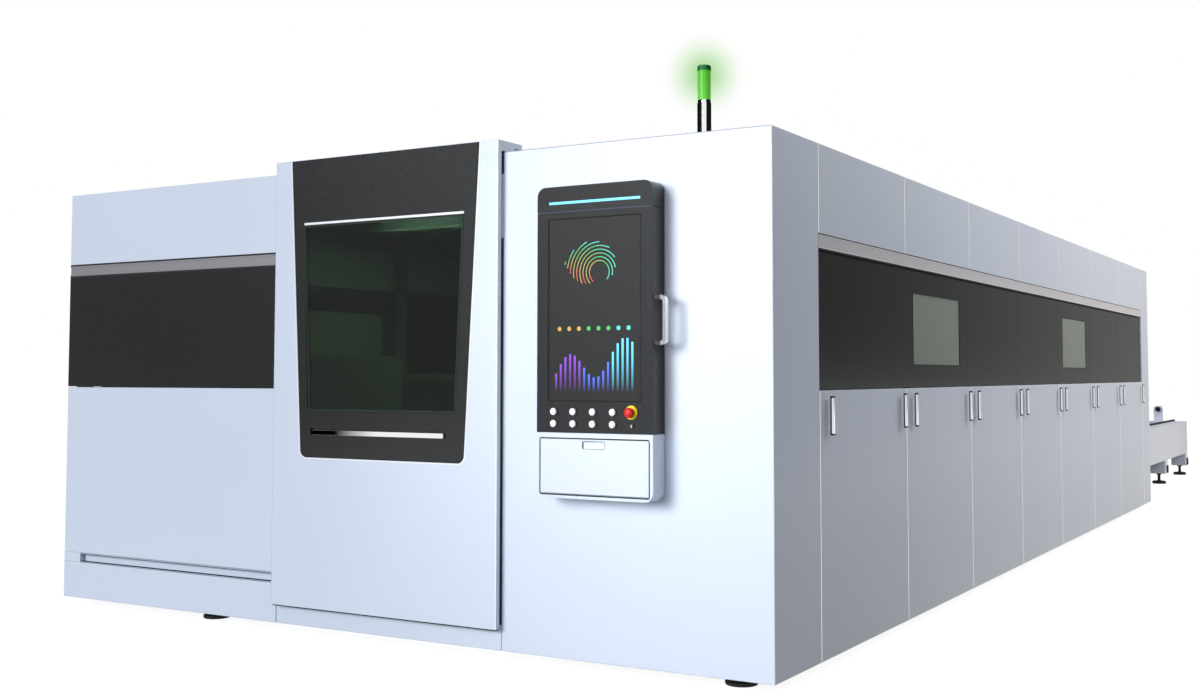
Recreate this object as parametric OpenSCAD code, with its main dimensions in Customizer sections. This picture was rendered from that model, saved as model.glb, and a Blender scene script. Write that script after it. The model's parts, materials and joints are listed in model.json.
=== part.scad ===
// Enclosed sheet-metal laser cutting machine with a two-level exchange table.
// X runs across the machine, +Y from the front to the rear, +Z up from the floor, in millimetres.

/* [Enclosure] */
// Outside width of the enclosure
enc_w = 4040; // [3900:10:4300]
// Length of the enclosure from the front face to the rear face
enc_l = 8415; // [8300:5:8800]
// Height of the enclosure from its skirt to the roof
enc_h = 2100; // [2080:5:2250]
// Height of the skirt above the floor
foot_h = 42; // [36:1:60]
// Thickness of the sheet metal
sheet_t = 2; // [1.5:0.5:3]
// Depth of a folded panel
panel_d = 30; // [26:1:40]
// Gap between neighbouring panels
seam = 4; // [2:0.5:6]
// Side of the square tube in the skeleton
tube = 60; // [50:5:70]

/* [Side walls] */
// Number of panels along a side
bays = 7; // [6:1:8]
// Width of the front column of a side
front_col = 457; // [420:1:500]
// Width of the rear column of a side
rear_col = 355; // [320:1:400]
// Height of the upper panels under the roof
upper_h = 374; // [340:2:420]
// Height of the dark band
band_h = 578; // [540:2:620]
// Height of the aluminium trim strip above the band
trim_h = 58; // [40:1:70]
// How far the band lies behind the side's face
band_recess = 14; // [8:1:18]
// How far the trim strip lies behind the side's face
trim_recess = 4; // [2:1:8]
// Width of a side window
side_win_w = 780; // [600:10:900]
// Height of a side window
side_win_h = 352; // [280:2:420]
// Height of a side window above the band's lower edge
side_win_lift = 110; // [90:1:130]
// Thickness of a side window's pane
side_pane_t = 6; // [4:1:8]

/* [Panel handles] */
// Length of a panel handle's grip
grip_l = 155; // [120:1:200]
// Width of a panel handle's flat grip
grip_w = 15; // [12:1:20]
// Thickness of a panel handle's flat grip
grip_t = 8; // [6:1:12]
// Clear gap between the grip and the panel
grip_gap = 22; // [20:1:40]
// Distance of a handle from its panel's edge
grip_edge = 82; // [60:1:120]
// Distance of a handle's top below the panel's top
grip_drop = 25; // [15:1:60]

/* [Front] */
// Width of the right front panel, which carries the console
right_bay = 1243; // [1200:1:1300]
// Width of the doorway
door_w = 1284; // [1240:1:1320]
// Height of the left plinth
plinth_h = 184; // [170:1:210]
// Height of the door's guide slot
slot_h = 46; // [40:1:56]
// Distance of the slot's end from the left edge
slot_start = 126; // [100:1:160]
// Height of the doorway's sill above the skirt
sill_h = 108; // [100:1:130]

/* [Sliding door] */
// Width of the door leaf
leaf_w = 1278; // [1240:1:1282]
// Thickness of the door leaf
leaf_t = 25; // [22:1:30]
// Gap between the leaf and the front panels
leaf_gap = 12; // [8:1:16]
// Height of the leaf's lower edge above the skirt
leaf_lift = 92; // [80:1:98]
// How far the leaf stands above the roof
leaf_over = 50; // [48:1:70]
// How far the hood reaches back behind the front face
hood_d = 140; // [130:1:180]
// Height of the dark fascia from the leaf's upper edge
fascia_h = 1375; // [1340:5:1400]
// Half of the fascia's width at its lower edge
fascia_low = 466; // [440:1:480]
// Half of the fascia's width at its upper edge
fascia_top = 540; // [520:1:560]
// Distance of the window below the leaf's upper edge
window_drop = 295; // [280:1:320]
// Height of the window
window_h = 869; // [840:1:880]
// Half of the window's width at its lower edge
window_low = 430; // [410:1:436]
// How much narrower the window is at its lower right corner
window_skew = 18; // [0:1:24]
// Half of the window's width at its upper edge
window_top = 460; // [440:1:480]
// Distance of the handle's trough below the leaf's upper edge
handle_drop = 1255; // [1245:1:1275]
// Reach of the handle's trough to the left of the leaf's middle
handle_left = 410; // [380:1:420]
// Reach of the handle's trough to the right of the leaf's middle
handle_right = 369; // [340:1:400]
// Thickness of the dark fascia
fascia_t = 18; // [14:1:20]
// Thickness of the safety glass
glass_t = 8; // [6:1:10]

/* [Console] */
// Width of the console
con_w = 540; // [510:1:580]
// Depth of the console with its gap to the wall
con_d = 99; // [95:1:120]
// Gap between the console and the wall
con_gap = 4; // [4:0.5:6]
// Distance of the console's right edge from the enclosure's right edge
con_right = 463; // [420:1:520]
// Height of the console's lower edge above the skirt
con_z = 659; // [620:1:700]
// Height of the white keyboard case
case_h = 261; // [250:1:300]
// Height of the dark housing
housing_h = 891; // [880:1:940]
// Height of the cap
cap_h = 104; // [90:1:130]
// Width of the screen
screen_w = 427; // [400:1:440]
// Height of the screen
screen_h = 731; // [700:1:735]
// Wall thickness of the console's shells
con_wall = 3; // [2.5:0.5:4]
// Radius of the console's outer corners
con_r = 40; // [30:1:50]
// Width of the light strip's lens
strip_h = 11; // [8:1:14]
// Length of the console's side handle
side_grip_l = 194; // [180:2:210]
// Clear gap between the side handle and the console
side_grip_gap = 39; // [36:1:45]
// Height of the side handle above the console's lower edge
side_grip_z = 609; // [560:1:640]
// Diameter of a push-button's cap
button_d = 28; // [24:1:32]
// Diameter of a push-button's stem
stem_d = 22; // [18:1:22]
// Diameter of the emergency stop's head
stop_d = 40; // [34:1:44]
// Diameter of the emergency stop's collar
collar_d = 56; // [50:1:60]

/* [Exchange table] */
// Length of the table behind the enclosure
table_l = 4377; // [4300:1:4600]
// Width of a table beam
beam_w = 160; // [150:2:180]
// Height of a table beam
beam_h = 380; // [360:5:400]
// Height of the beam's upper face above the floor
beam_top = 637; // [620:1:660]
// Distance of the beam's outer face from the enclosure's side
beam_in = 268; // [250:1:290]
// Side of a pallet rail
rail_s = 20; // [16:1:26]
// Length of a pallet
pallet_l = 4100; // [3900:10:4200]
// Number of slats on a pallet
slats = 22; // [16:1:26]
// Number of teeth on a slat
teeth = 24; // [16:1:30]
// Radius of a pallet wheel
wheel_r = 40; // [34:1:45]

/* [Motion system] */
// Height of the bed beams' upper face above the floor
bed_top = 820; // [800:5:840]
// Width of a bed beam
bed_w = 200; // [180:5:220]
// Depth of the gantry beam
gantry_d = 300; // [280:5:340]
// Height of the gantry beam
gantry_h = 280; // [260:5:320]
// Place of the gantry's centre behind the front face
gantry_y = 1980; // [1950:5:2050]

/* [Hidden] */
$fn = 48;
// Clearance between pieces that are welded or bolted together
fit = 0.3;
// Extra depth of a cut
cut = 1;

hw = enc_w / 2;
z_skirt = foot_h;
z_roof = z_skirt + enc_h;
z_upper = z_roof - upper_h;
z_trim = z_upper - trim_h;
z_band = z_trim - band_h;
lower_h = z_band - z_skirt;
wall_in = hw - panel_d;
frame_in = wall_in - tube;
pitch = (enc_l - front_col - rear_col) / bays;
window_bays = [1, 4];
window_z = z_band + side_win_lift;

door_x1 = hw - right_bay;
door_x0 = door_x1 - door_w;
left_bay = door_x0 + hw;
leaf_x0 = door_x0 + (door_w - leaf_w) / 2;
leaf_x1 = leaf_x0 + leaf_w;
leaf_y0 = -leaf_gap - leaf_t;
leaf_z0 = z_skirt + leaf_lift;
leaf_z1 = z_roof + leaf_over;
hood_t = 3;
hood_clear = 5;
door_rail_h = 18;
door_rail_w = 30;
door_rail_y = 92;
slot_z0 = z_skirt + plinth_h;
slot_z1 = slot_z0 + slot_h;
slot_x0 = slot_start - hw;
track_wall = 3;

con_x1 = hw - con_right;
con_x0 = con_x1 - con_w;
con_y0 = -con_d;
con_z0 = z_skirt + con_z;
housing_z0 = con_z0 + case_h;
cap_z0 = housing_z0 + housing_h;
con_top = cap_z0 + cap_h;
con_seam = 2;
tongue_in = 4;
screen_x0 = con_x0 + (con_w - screen_w) / 2;
screen_z0 = cap_z0 - 31 - screen_h;
screen_t = 12;
screen_sink = 2;
strip_z0 = cap_z0 + 31;
strip_t = 4;
strip_sink = 1;
button_cols = 4;
button_pitch = 92;
button_x0 = con_x0 + 85;
button_z = [housing_z0 + 85, housing_z0 + 37];
button_cap_t = 9;
button_travel = 3;
stop_x = con_x1 - 96;
stop_z = button_z[0];
stop_travel = 5;
collar_t = 8;
key_x = stop_x + 3;
key_z = housing_z0 + 32;
key_d = 20;
pivot_x = con_x0 + 6;
pivot_y = -16;
pivot_r = 4;
pivot_run = 0.05;
pivot_z = [housing_z0 + 120, cap_z0 - 120];
rib_t = 8;
arm_t = 8;
flap_rim = 18;
flap_rim_low = 16;
flap_rim_top = 23;
flap_gap = 1.5;
flap_t = 12;

table_y1 = enc_l + table_l;
beam_x1 = hw - beam_in;
beam_x0 = beam_x1 - beam_w;
beam_z0 = beam_top - beam_h;
leg_d = 170;
beam_wall = 6;
leg_pitch = 1538;
leg_z0 = 114;
end_beam_y0 = table_y1 - 80;
end_beam_h = 200;
upper_rail_x = beam_x0 + 20;
rail_top = beam_top + rail_s;
rail_end = 12;
lower_rail_w = 47;
lower_rail_h = 40;
lower_rail_top = beam_top - 265;
wheel_w = 30;
wheel_lift = 0.4;
axle_r = 20;
axle_run = 0.1;
axle_inset = 420;
pallet_half = beam_x0 - 60;
pallet_member = 60;
pallet_member_h = 100;
pallet_wall = 5;
slat_t = 6;
slat_h = 90;
tooth_h = 35;
pallet_y = 1690;
pallet_out_y = table_y1 - 172 - pallet_l;
track_y0 = pallet_y - 50;
track_y1 = enc_l - 95;

tray_clear = 192;
cross_h = 100;
cross_d = 80;
cross_rows = [133, 1000, 2400, 3900, 5400, 6900, 8250];
cross_top = z_skirt + cross_h;
cross_wall = 6;
bed_wall = 12;
track_beam_wall = 8;
tube_wall = 3;
bed_x1 = frame_in - 50;
bed_x0 = bed_x1 - bed_w;
bed_y0 = 1150;
bed_y1 = 7000;
guide_w = 30;
guide_h = 30;
truck_h = 70;
truck_z0 = bed_top + guide_h + fit;
gantry_z0 = truck_z0 + truck_h + fit;
gantry_front = gantry_y - gantry_d / 2;
head_rest = 960;
port_half = bed_x0 + 10;
port_top = 1010;
port_sill = lower_rail_top - lower_rail_h - 32;
shutter_t = 12;
shutter_h = 400;
shutter_y = enc_l - 125;
shutter_low = 1030;
duct_r = 125;
duct_z = 1750;
duct_hole = 300;

// The part's origin is under the middle of its length, so everything shifts by this much
stop_nose = 34;
mid_y = (table_y1 + con_y0 - stop_nose) / 2;

white = [0.86, 0.89, 0.94];
dark = [0.16, 0.16, 0.17];
alloy = [0.6, 0.61, 0.63];
chrome = [0.82, 0.83, 0.85];
black = [0.05, 0.05, 0.05];
steel = [0.45, 0.47, 0.5];
safety_green = [0.1, 0.3, 0.15];

// Moves the model so that its origin is under its middle
module placed() {
  translate([0, -mid_y, 0]) children();
}

// A copy on each side of the machine
module both_sides() {
  children();
  mirror([1, 0, 0]) children();
}

// A box between two corners
module block(a, b) {
  translate(a) cube(b - a);
}

// The same box on both sides of the machine, given for the right side
module blocks(a, b) {
  both_sides() block(a, b);
}

// Rectangular tube between two corners, open at both ends of one axis: 0 is X, 1 is Y, 2 is Z
module hollow(a, b, wall, axis) {
  skin = [for (i = [0:2]) i == axis ? -cut : wall];
  difference() {
    block(a, b);
    block(a + skin, b - skin);
  }
}

// The same tube on both sides of the machine
module hollows(a, b, wall, axis) {
  both_sides() hollow(a, b, wall, axis);
}

// Points of an arc that rounds the corner b between a and c with radius r
function corner_arc(a, b, c, r, n = 6) =
  let (
    u = (a - b) / norm(a - b),
    v = (c - b) / norm(c - b),
    half = acos(u * v) / 2,
    mid = b + (u + v) / norm(u + v) * r / sin(half),
    p = b + u * r / tan(half) - mid,
    turn = (u[0] * v[1] - u[1] * v[0] > 0 ? 1 : -1) * (180 - 2 * half)
  )
  r == 0 ? [b] : [
    for (i = [0:n])
      let (t = -turn * i / n)
      mid + [p[0] * cos(t) - p[1] * sin(t), p[0] * sin(t) + p[1] * cos(t)]
  ];

// Outline through the given points with each corner rounded by its own radius
function rounded(points, radii) =
  let (n = len(points))
  [
    for (i = [0:n - 1])
      each corner_arc(points[(i + n - 1) % n], points[i], points[(i + 1) % n], radii[i])
  ];

// Folded sheet panel: its face is at y = 0 and looks to -Y, its edges fold back to y = d.
// An end whose mitre is 1 is cut at 45 degrees to meet its neighbour round a corner.
module pan(length, height, d = panel_d, m0 = 0, m1 = 0) {
  t = sheet_t;
  back = d + cut;
  difference() {
    linear_extrude(height)
      polygon([[0, 0], [length, 0], [length - m1 * d, d], [m0 * d, d]]);
    translate([0, 0, t])
      linear_extrude(height - 2 * t)
        polygon([
          [(m0 + 1) * t, t],
          [length - (m1 + 1) * t, t],
          [length - m1 * back - t, back],
          [m0 * back + t, back]
        ]);
  }
}

// Puts a panel that looks to -Y onto the right side wall, starting at y and z
module on_side(y, z, recess = 0) {
  translate([hw - recess, y, z]) rotate([0, 0, 90]) children();
}

// Lifts the outline given in X and Z to a plate between y0 and y0 + t
module upright(y0, t) {
  translate([0, y0 + t, 0]) rotate([90, 0, 0]) linear_extrude(t) children();
}

// Start of bay i along a side
function bay_y(i) = front_col + i * pitch;

module machine_bed() {
  color(steel) {
    for (y = cross_rows)
      hollow(
        [-frame_in + fit, y - cross_d / 2, z_skirt], [frame_in - fit, y + cross_d / 2, cross_top],
        cross_wall, 0
      );
    hollows([bed_x0, bed_y0, cross_top + fit], [bed_x1, bed_y1, bed_top], bed_wall, 1);
    hollows([beam_x0, track_y0, beam_z0], [bed_x0 - fit, track_y1, beam_top], track_beam_wall, 1);
    for (y = cross_rows)
      if (y - cross_d / 2 > track_y0 && y + cross_d / 2 < track_y1)
        hollows(
          [beam_x0, y - cross_d / 2, cross_top + fit], [bed_x0 - fit, y + cross_d / 2, beam_z0 - fit],
          cross_wall, 2
        );
  }
}

// Skeleton tube across the machine between -half and half
module cross_tube(half, y, z) {
  hollow([-half + fit, y, z], [half - fit, y + tube, z + tube], tube_wall, 0);
}

// Square-tube skeleton that the panels hang on
module enclosure_frame() {
  top0 = z_roof - panel_d - tube;
  low1 = z_skirt + tube;
  y1 = enc_l - panel_d;
  color(steel) {
    for (z = [z_skirt, top0])
      hollows([frame_in, panel_d, z], [wall_in, y1, z + tube], tube_wall, 1);
    for (y = [panel_d, for (i = [0:bays]) bay_y(i) - tube / 2, y1 - tube])
      hollows([frame_in, y, low1 + fit], [wall_in, y + tube, top0 - fit], tube_wall, 2);
    for (y = [panel_d, for (i = [0:bays]) bay_y(i) - tube / 2, y1 - tube])
      cross_tube(frame_in, y, top0);
    cross_tube(frame_in, panel_d, z_skirt);
    cross_tube(port_half, y1 - tube, z_skirt);
    for (x = [door_x0 - tube, door_x1])
      hollow([x, panel_d, low1 + fit], [x + tube, panel_d + tube, top0 - fit], tube_wall, 2);
    hollows([port_half, y1 - tube, z_skirt], [port_half + tube, y1, top0 - fit], tube_wall, 2);
    shutter_guides();
  }
}

// One machine foot: a turned pad with a threaded neck
module machine_foot() {
  rotate_extrude()
    polygon([
      [0, 0], [62, 0], [65, 4], [65, 14], [60, 18], [24, 22], [18, 26], [18, foot_h], [0, foot_h]
    ]);
}

// One table foot: a wide pad, a slim stem and a lock nut under the leg
module table_foot() {
  rotate_extrude()
    polygon([
      [0, 0], [68, 0], [71, 6], [71, 22], [64, 30], [22, 34], [15, 40],
      [15, leg_z0 - 16], [26, leg_z0 - 16], [26, leg_z0], [0, leg_z0]
    ]);
}

module levelling_feet() {
  foot_x = hw - 200;
  inner_foot_x = door_x0 - 527;
  color(black) {
    translate([foot_x, cross_rows[0], 0]) machine_foot();
    translate([inner_foot_x, cross_rows[0], 0]) machine_foot();
    for (i = [1:len(cross_rows) - 1])
      both_sides() translate([foot_x, cross_rows[i], 0]) machine_foot();
    for (y = leg_rows())
      both_sides() translate([beam_x1 - beam_w / 2, y, 0]) table_foot();
  }
}

module front_panels() {
  lower_z0 = slot_z1 + seam / 2;
  color(white) {
    translate([-hw + fit, 0, z_upper + seam / 2]) pan(left_bay - fit, upper_h - seam / 2, m0 = 1);
    translate([-hw + fit, 0, lower_z0]) pan(left_bay - fit, z_band - lower_z0 - seam / 2, m0 = 1);
    translate([-hw + fit, 0, slot_z0 - seam / 2 + fit])
      pan(slot_start - fit, lower_z0 - slot_z0 + seam / 2 - 2 * fit, m0 = 1);
    translate([door_x1, 0, z_skirt]) pan(hw - fit - door_x1, enc_h, m1 = 1);
  }
}

module front_plinths() {
  color(white) {
    translate([-hw + fit, 0, z_skirt]) pan(left_bay - fit - seam / 2, plinth_h - seam / 2, m0 = 1);
    translate([door_x0 + seam / 2, 0, z_skirt]) pan(door_w - seam, sill_h);
  }
}

// The right front column is one tall panel, the left one is cut by the band that wraps round the corner
module side_columns() {
  length = front_col - seam / 2 - fit;
  color(white) {
    on_side(fit, z_skirt) pan(length, enc_h, m0 = 1);
    mirror([1, 0, 0]) on_side(fit, z_skirt) pan(length, lower_h - seam / 2, m0 = 1);
    mirror([1, 0, 0]) on_side(fit, z_upper + seam / 2) pan(length, upper_h - seam / 2, m0 = 1);
    both_sides() on_side(bay_y(bays) + seam / 2, z_skirt) pan(rear_col - seam / 2 - fit, enc_h, m1 = 1);
  }
}

module upper_panels() {
  color(white)
    both_sides()
      for (i = [0:bays - 1])
        on_side(bay_y(i) + seam / 2, z_upper + seam / 2) pan(pitch - seam, upper_h - seam / 2);
}

module band_panels() {
  h = band_h - seam;
  z = z_band + seam / 2;
  win_x = (pitch - side_win_w) / 2;
  color(dark) {
    both_sides()
      for (i = [0:bays - 1])
        difference() {
          on_side(bay_y(i) + seam / 2, z, band_recess) pan(pitch - seam, h, panel_d - band_recess);
          if (len(search(i, window_bays)) > 0)
            on_side(bay_y(i) + win_x, window_z, band_recess)
              translate([0, -cut, 0]) cube([side_win_w, panel_d, side_win_h]);
        }
    translate([-hw + fit, 0, z]) pan(left_bay - fit, h, m0 = 1);
    mirror([1, 0, 0]) on_side(fit, z) pan(front_col - seam / 2 - fit, h, m0 = 1);
  }
}

module access_panels() {
  color(white)
    both_sides()
      for (i = [0:bays - 1])
        on_side(bay_y(i) + seam / 2, z_skirt) pan(pitch - seam, lower_h - seam / 2);
}

// Upright rectangle from x = 0 whose two far corners are rounded
module far_rounded(w, z0, z1, r) {
  union() {
    translate([0, z0]) square([w - r, z1 - z0]);
    translate([0, z0 + r]) square([w, z1 - z0 - 2 * r]);
    for (z = [z0 + r, z1 - r]) translate([w - r, z]) circle(r = r);
  }
}

// Flat grip with rounded ends on two posts, standing on the plane x = 0 and looking to +X
module panel_handle() {
  end_r = grip_t / 2;
  post_h = 12;
  inset = 8;
  translate([grip_gap, 0, 0]) upright(-grip_w / 2, grip_w) far_rounded(grip_t, 0, grip_l, end_r);
  for (z = [inset, grip_l - inset - post_h])
    translate([0, -grip_w / 2, z]) cube([grip_gap - fit, grip_w, post_h]);
}

module access_handles() {
  z = z_band - seam / 2 - grip_drop - grip_l;
  color(chrome)
    both_sides()
      for (i = [0:bays - 1], y = [grip_edge, pitch - grip_edge])
        translate([hw, bay_y(i) + y, z]) panel_handle();
}

// Aluminium strip with a shallow groove along its face
module trim_profile(length, d, m0 = 0) {
  lip = 9;
  groove = 2;
  h = trim_h - seam / 2;
  difference() {
    linear_extrude(h) polygon([[0, 0], [length, 0], [length, d], [m0 * d, d]]);
    translate([-cut, -cut, lip]) cube([length + 2 * cut, groove + cut, h - 2 * lip]);
  }
}

module trim_strips() {
  color(alloy) {
    both_sides()
      on_side(front_col + seam / 2, z_trim, trim_recess)
        trim_profile(bays * pitch - seam, panel_d - trim_recess);
    translate([-hw + fit, 0, z_trim]) trim_profile(left_bay - fit, panel_d, 1);
    mirror([1, 0, 0]) on_side(fit, z_trim) trim_profile(front_col - seam / 2 - fit, panel_d, 1);
  }
}

// Panes that lie against the back of the band's sheet
module side_windows() {
  lap = 14;
  color(safety_green, 0.5)
    both_sides()
      for (i = window_bays)
        on_side(bay_y(i) + (pitch - side_win_w) / 2 - lap, window_z - lap, band_recess)
          translate([0, sheet_t, 0]) cube([side_win_w + 2 * lap, side_pane_t, side_win_h + 2 * lap]);
}

module roof_panels() {
  edges = [panel_d + fit, for (i = [0:bays]) bay_y(i), enc_l - panel_d - fit];
  x1 = wall_in - fit;
  color(white)
    for (i = [0:len(edges) - 2])
      let (y0 = edges[i] + seam / 2, y1 = edges[i + 1] - seam / 2)
        difference() {
          block([-x1, y0, z_roof - panel_d], [x1, y1, z_roof]);
          block(
            [-x1 + sheet_t, y0 + sheet_t, z_roof - panel_d - cut],
            [x1 - sheet_t, y1 - sheet_t, z_roof - sheet_t]
          );
        }
}

// A panel that looks to +Y on the rear wall, between x0 and x1
module rear_pan(x0, x1, z0, z1, m = 0) {
  translate([x1, enc_l, z0]) rotate([0, 0, 180]) pan(x1 - x0, z1 - z0, m0 = m);
}

module rear_wall() {
  s = seam / 2;
  hole = duct_hole / 2;
  color(white) {
    both_sides() rear_pan(port_half + s, hw - fit, z_skirt, z_roof, 1);
    both_sides() rear_pan(hole + s, port_half - s, port_top, z_roof);
    rear_pan(-hole + s, hole - s, port_top, duct_z - hole);
    rear_pan(-hole + s, hole - s, duct_z + hole, z_roof);
    rear_pan(-port_half + s, port_half - s, z_skirt, port_sill);
  }
}

// Channels in which the shutter's edges run
module shutter_guides() {
  play = fit;
  wall = 6;
  depth = 30;
  y0 = shutter_y - play - wall;
  x1 = port_half + tube;
  h = shutter_low + shutter_h - beam_top;
  both_sides()
    translate([0, 0, beam_top + rail_s])
      linear_extrude(h)
        difference() {
          translate([x1 - tube, y0]) square([tube, enc_l - panel_d - tube - fit - y0]);
          translate([x1 - tube - cut, y0 + wall]) square([depth + cut, shutter_t + 2 * play]);
        }
}

// Lifting plate with folded stiffeners, stored above the port
module rear_shutter() {
  x1 = port_half + 26;
  rib = 20;
  color(alloy) {
    union() {
      block([-x1, shutter_y, shutter_low], [x1, shutter_y + shutter_t, shutter_low + shutter_h]);
      for (z = [shutter_low, shutter_low + shutter_h - rib])
        block([-port_half + 30, shutter_y - rib, z], [port_half - 30, shutter_y + cut, z + rib]);
    }
  }
}

// Exhaust spigot: square flange over the hole in the rear wall and a round collar
module duct_collar() {
  wall = 3;
  length = 120;
  flange = duct_hole / 2 + 40;
  flange_t = 4;
  color(alloy)
    difference() {
      union() {
        block([-flange, enc_l, duct_z - flange], [flange, enc_l + flange_t, duct_z + flange]);
        translate([0, enc_l, duct_z]) rotate([-90, 0, 0]) cylinder(r = duct_r, h = length);
      }
      translate([0, enc_l - cut, duct_z])
        rotate([-90, 0, 0]) cylinder(r = duct_r - wall, h = length + 2 * cut);
    }
}

tower_x = hw - 338;
tower_y = 100;
tower_r = 28;
tower_base_h = 146;
tower_lens_h = 139;

module tower_base() {
  color(black)
    translate([tower_x, tower_y, z_roof])
      rotate_extrude()
        polygon([
          [0, 0], [42, 0], [42, 6], [tower_r, 12], [tower_r, tower_base_h - 12],
          [tower_r - 2, tower_base_h - 10], [tower_r - 2, tower_base_h], [0, tower_base_h]
        ]);
}

// Smooth lens with a turned cap above a narrow groove
module tower_lens() {
  cap_h = 20;
  groove_h = 2;
  lens_r = tower_r - 2;
  cap_r = tower_r - 1;
  cap_z = tower_lens_h - cap_h;
  color([0.2, 0.75, 0.25])
    translate([tower_x, tower_y, z_roof + tower_base_h])
      rotate_extrude()
        polygon([
          [0, 0], [lens_r, 0], [lens_r, cap_z - groove_h], [lens_r - 1, cap_z - groove_h],
          [lens_r - 1, cap_z], [cap_r, cap_z], [cap_r, tower_lens_h - 3], [cap_r - 3, tower_lens_h],
          [0, tower_lens_h]
        ]);
}

// Channel behind the slot that holds the door's lower guide shoe
module door_guide_track() {
  z0 = slot_z0 + fit;
  z1 = slot_z1 - fit;
  y1 = panel_d - fit;
  color(steel)
    translate([slot_x0 + seam / 2, 0, 0])
      rotate([90, 0, 90])
        linear_extrude(door_x0 - slot_x0 - seam)
          polygon([
            [track_wall, z0], [y1, z0], [y1, z1], [track_wall, z1], [track_wall, z1 - track_wall],
            [y1 - track_wall, z1 - track_wall], [y1 - track_wall, z0 + track_wall],
            [track_wall, z0 + track_wall]
          ]);
}

// Linear rail with waisted sides on the roof, above the door's travel
module door_rail() {
  w = door_rail_w;
  h = door_rail_h;
  waist = 4;
  x0 = slot_x0;
  color(chrome)
    translate([x0, door_rail_y, z_roof])
      rotate([90, 0, 90])
        linear_extrude(leaf_x1 - 20 - x0)
          polygon([
            [0, 0], [w, 0], [w, 4], [w - waist, 7], [w - waist, 11], [w, 14], [w, h],
            [0, h], [0, 14], [waist, 11], [waist, 7], [0, 4]
          ]);
}

// Heights of the fascia, window and handle below the leaf's upper edge, widths about the leaf's middle
leaf_mid = (leaf_x0 + leaf_x1) / 2;
fascia_z = [leaf_z1 - fascia_h, leaf_z1 - hood_t];
fascia_x = [[-fascia_low, fascia_low], [-fascia_top, fascia_top]];
window_zs = [leaf_z1 - window_drop - window_h, leaf_z1 - window_drop];
window_xs = [[-window_low, window_low - window_skew], [-window_top, window_top]];
handle_z = leaf_z1 - handle_drop;
handle_xs = [-handle_left, handle_right];
fascia_r = 36;
window_r = 14;

// Four-sided outline, given by the x range at its lower and upper edge
function trapezoid(xs, zs, grow = 0) = [
  [leaf_mid + xs[0][0] - grow, zs[0] - grow], [leaf_mid + xs[0][1] + grow, zs[0] - grow],
  [leaf_mid + xs[1][1] + grow, zs[1] + grow], [leaf_mid + xs[1][0] - grow, zs[1] + grow]
];

module fascia_outline(grow = 0) {
  zs = [fascia_z[0], fascia_z[1] - fit + grow];
  polygon(rounded(trapezoid(fascia_x, zs, grow), [fascia_r, fascia_r, 0, 0]));
}

module window_outline(grow = 0) {
  polygon(rounded(trapezoid(window_xs, window_zs, grow), [window_r, window_r, window_r, window_r]));
}

// White leaf with the fascia's cut-out, and the hood that carries it over the roof
module door_leaf() {
  rail_notch = 8;
  color(white) {
    difference() {
      union() {
        block([leaf_x0, leaf_y0, leaf_z0], [leaf_x1, -leaf_gap, leaf_z1]);
        block([leaf_x0, -leaf_gap - cut, z_roof + hood_clear], [leaf_x1, hood_d, leaf_z1]);
      }
      block(
        [leaf_x0 + hood_t, -leaf_gap, z_roof - cut],
        [leaf_x1 - hood_t, hood_d - hood_t, leaf_z1 - hood_t]
      );
      block(
        [leaf_x0 - cut, door_rail_y - rail_notch, z_roof],
        [leaf_x1 + cut, door_rail_y + door_rail_w + rail_notch, z_roof + door_rail_h + rail_notch]
      );
      upright(leaf_y0 - cut, leaf_t + 2 * cut) fascia_outline(fit);
    }
  }
}

// Dark inset panel with the window's rebate and the handle's trough
module door_fascia() {
  y0 = leaf_y0 + 1.5;
  color(dark)
    difference() {
      upright(y0, fascia_t) fascia_outline();
      upright(y0 - cut, fascia_t + 2 * cut) window_outline();
      translate([leaf_mid + handle_xs[0], y0 - cut, handle_z - 15])
        cube([handle_xs[1] - handle_xs[0], 11 + cut, 30]);
    }
}

module door_window() {
  color(safety_green, 0.6) upright(leaf_y0 + 4, glass_t) window_outline(-fit);
}

// Bright bar that stands in the trough on its lower lip
module door_handle() {
  y0 = leaf_y0 + 1;
  color(chrome)
    translate([leaf_mid + handle_xs[0] + 14, y0, handle_z - 15 + fit])
      rotate([90, 0, 90])
        linear_extrude(handle_xs[1] - handle_xs[0] - 28)
          polygon([[0, 3], [3, 0], [11, 0], [11, 6], [7, 9], [7, 20], [0, 20]]);
}

// Two blocks that run on the rail under the hood, and the shoe that runs in the lower slot
module door_runners() {
  z0 = z_roof + hood_clear;
  z1 = leaf_z1 - hood_t - fit;
  run = 0.5;
  length = 120;
  shoe_w = 60;
  shoe_x = leaf_x0 + 6;
  color(steel) {
    for (x = [leaf_x0 + 150, leaf_x1 - 150 - length])
      difference() {
        block([x, door_rail_y - 10, z0], [x + length, door_rail_y + door_rail_w + 10, z1]);
        block(
          [x - cut, door_rail_y - run, z0 - cut],
          [x + length + cut, door_rail_y + door_rail_w + run, z_roof + door_rail_h + run]
        );
      }
    block([shoe_x, -leaf_gap, slot_z0 + 10], [shoe_x + shoe_w, panel_d - 8, slot_z1 - 10]);
  }
}

// Clevis on the wall with the pin that the console turns on
module console_hinges() {
  plate_w = 28;
  arm_w = 9;
  stack = rib_t / 2 + fit + arm_t;
  color(steel)
    for (z = pivot_z) {
      union() {
        block([pivot_x - plate_w / 2 + 8, -con_gap + fit, z - stack], [pivot_x + plate_w, 0, z + stack]);
        for (z0 = [z - stack, z + rib_t / 2 + fit]) {
          block([pivot_x - arm_w / 2, pivot_y, z0], [pivot_x + arm_w / 2, -fit, z0 + arm_t]);
          translate([pivot_x, pivot_y, z0]) cylinder(r = arm_w / 2 + 1, h = arm_t);
        }
        translate([pivot_x, pivot_y, z - stack]) cylinder(r = pivot_r, h = 2 * stack);
      }
    }
}

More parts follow.
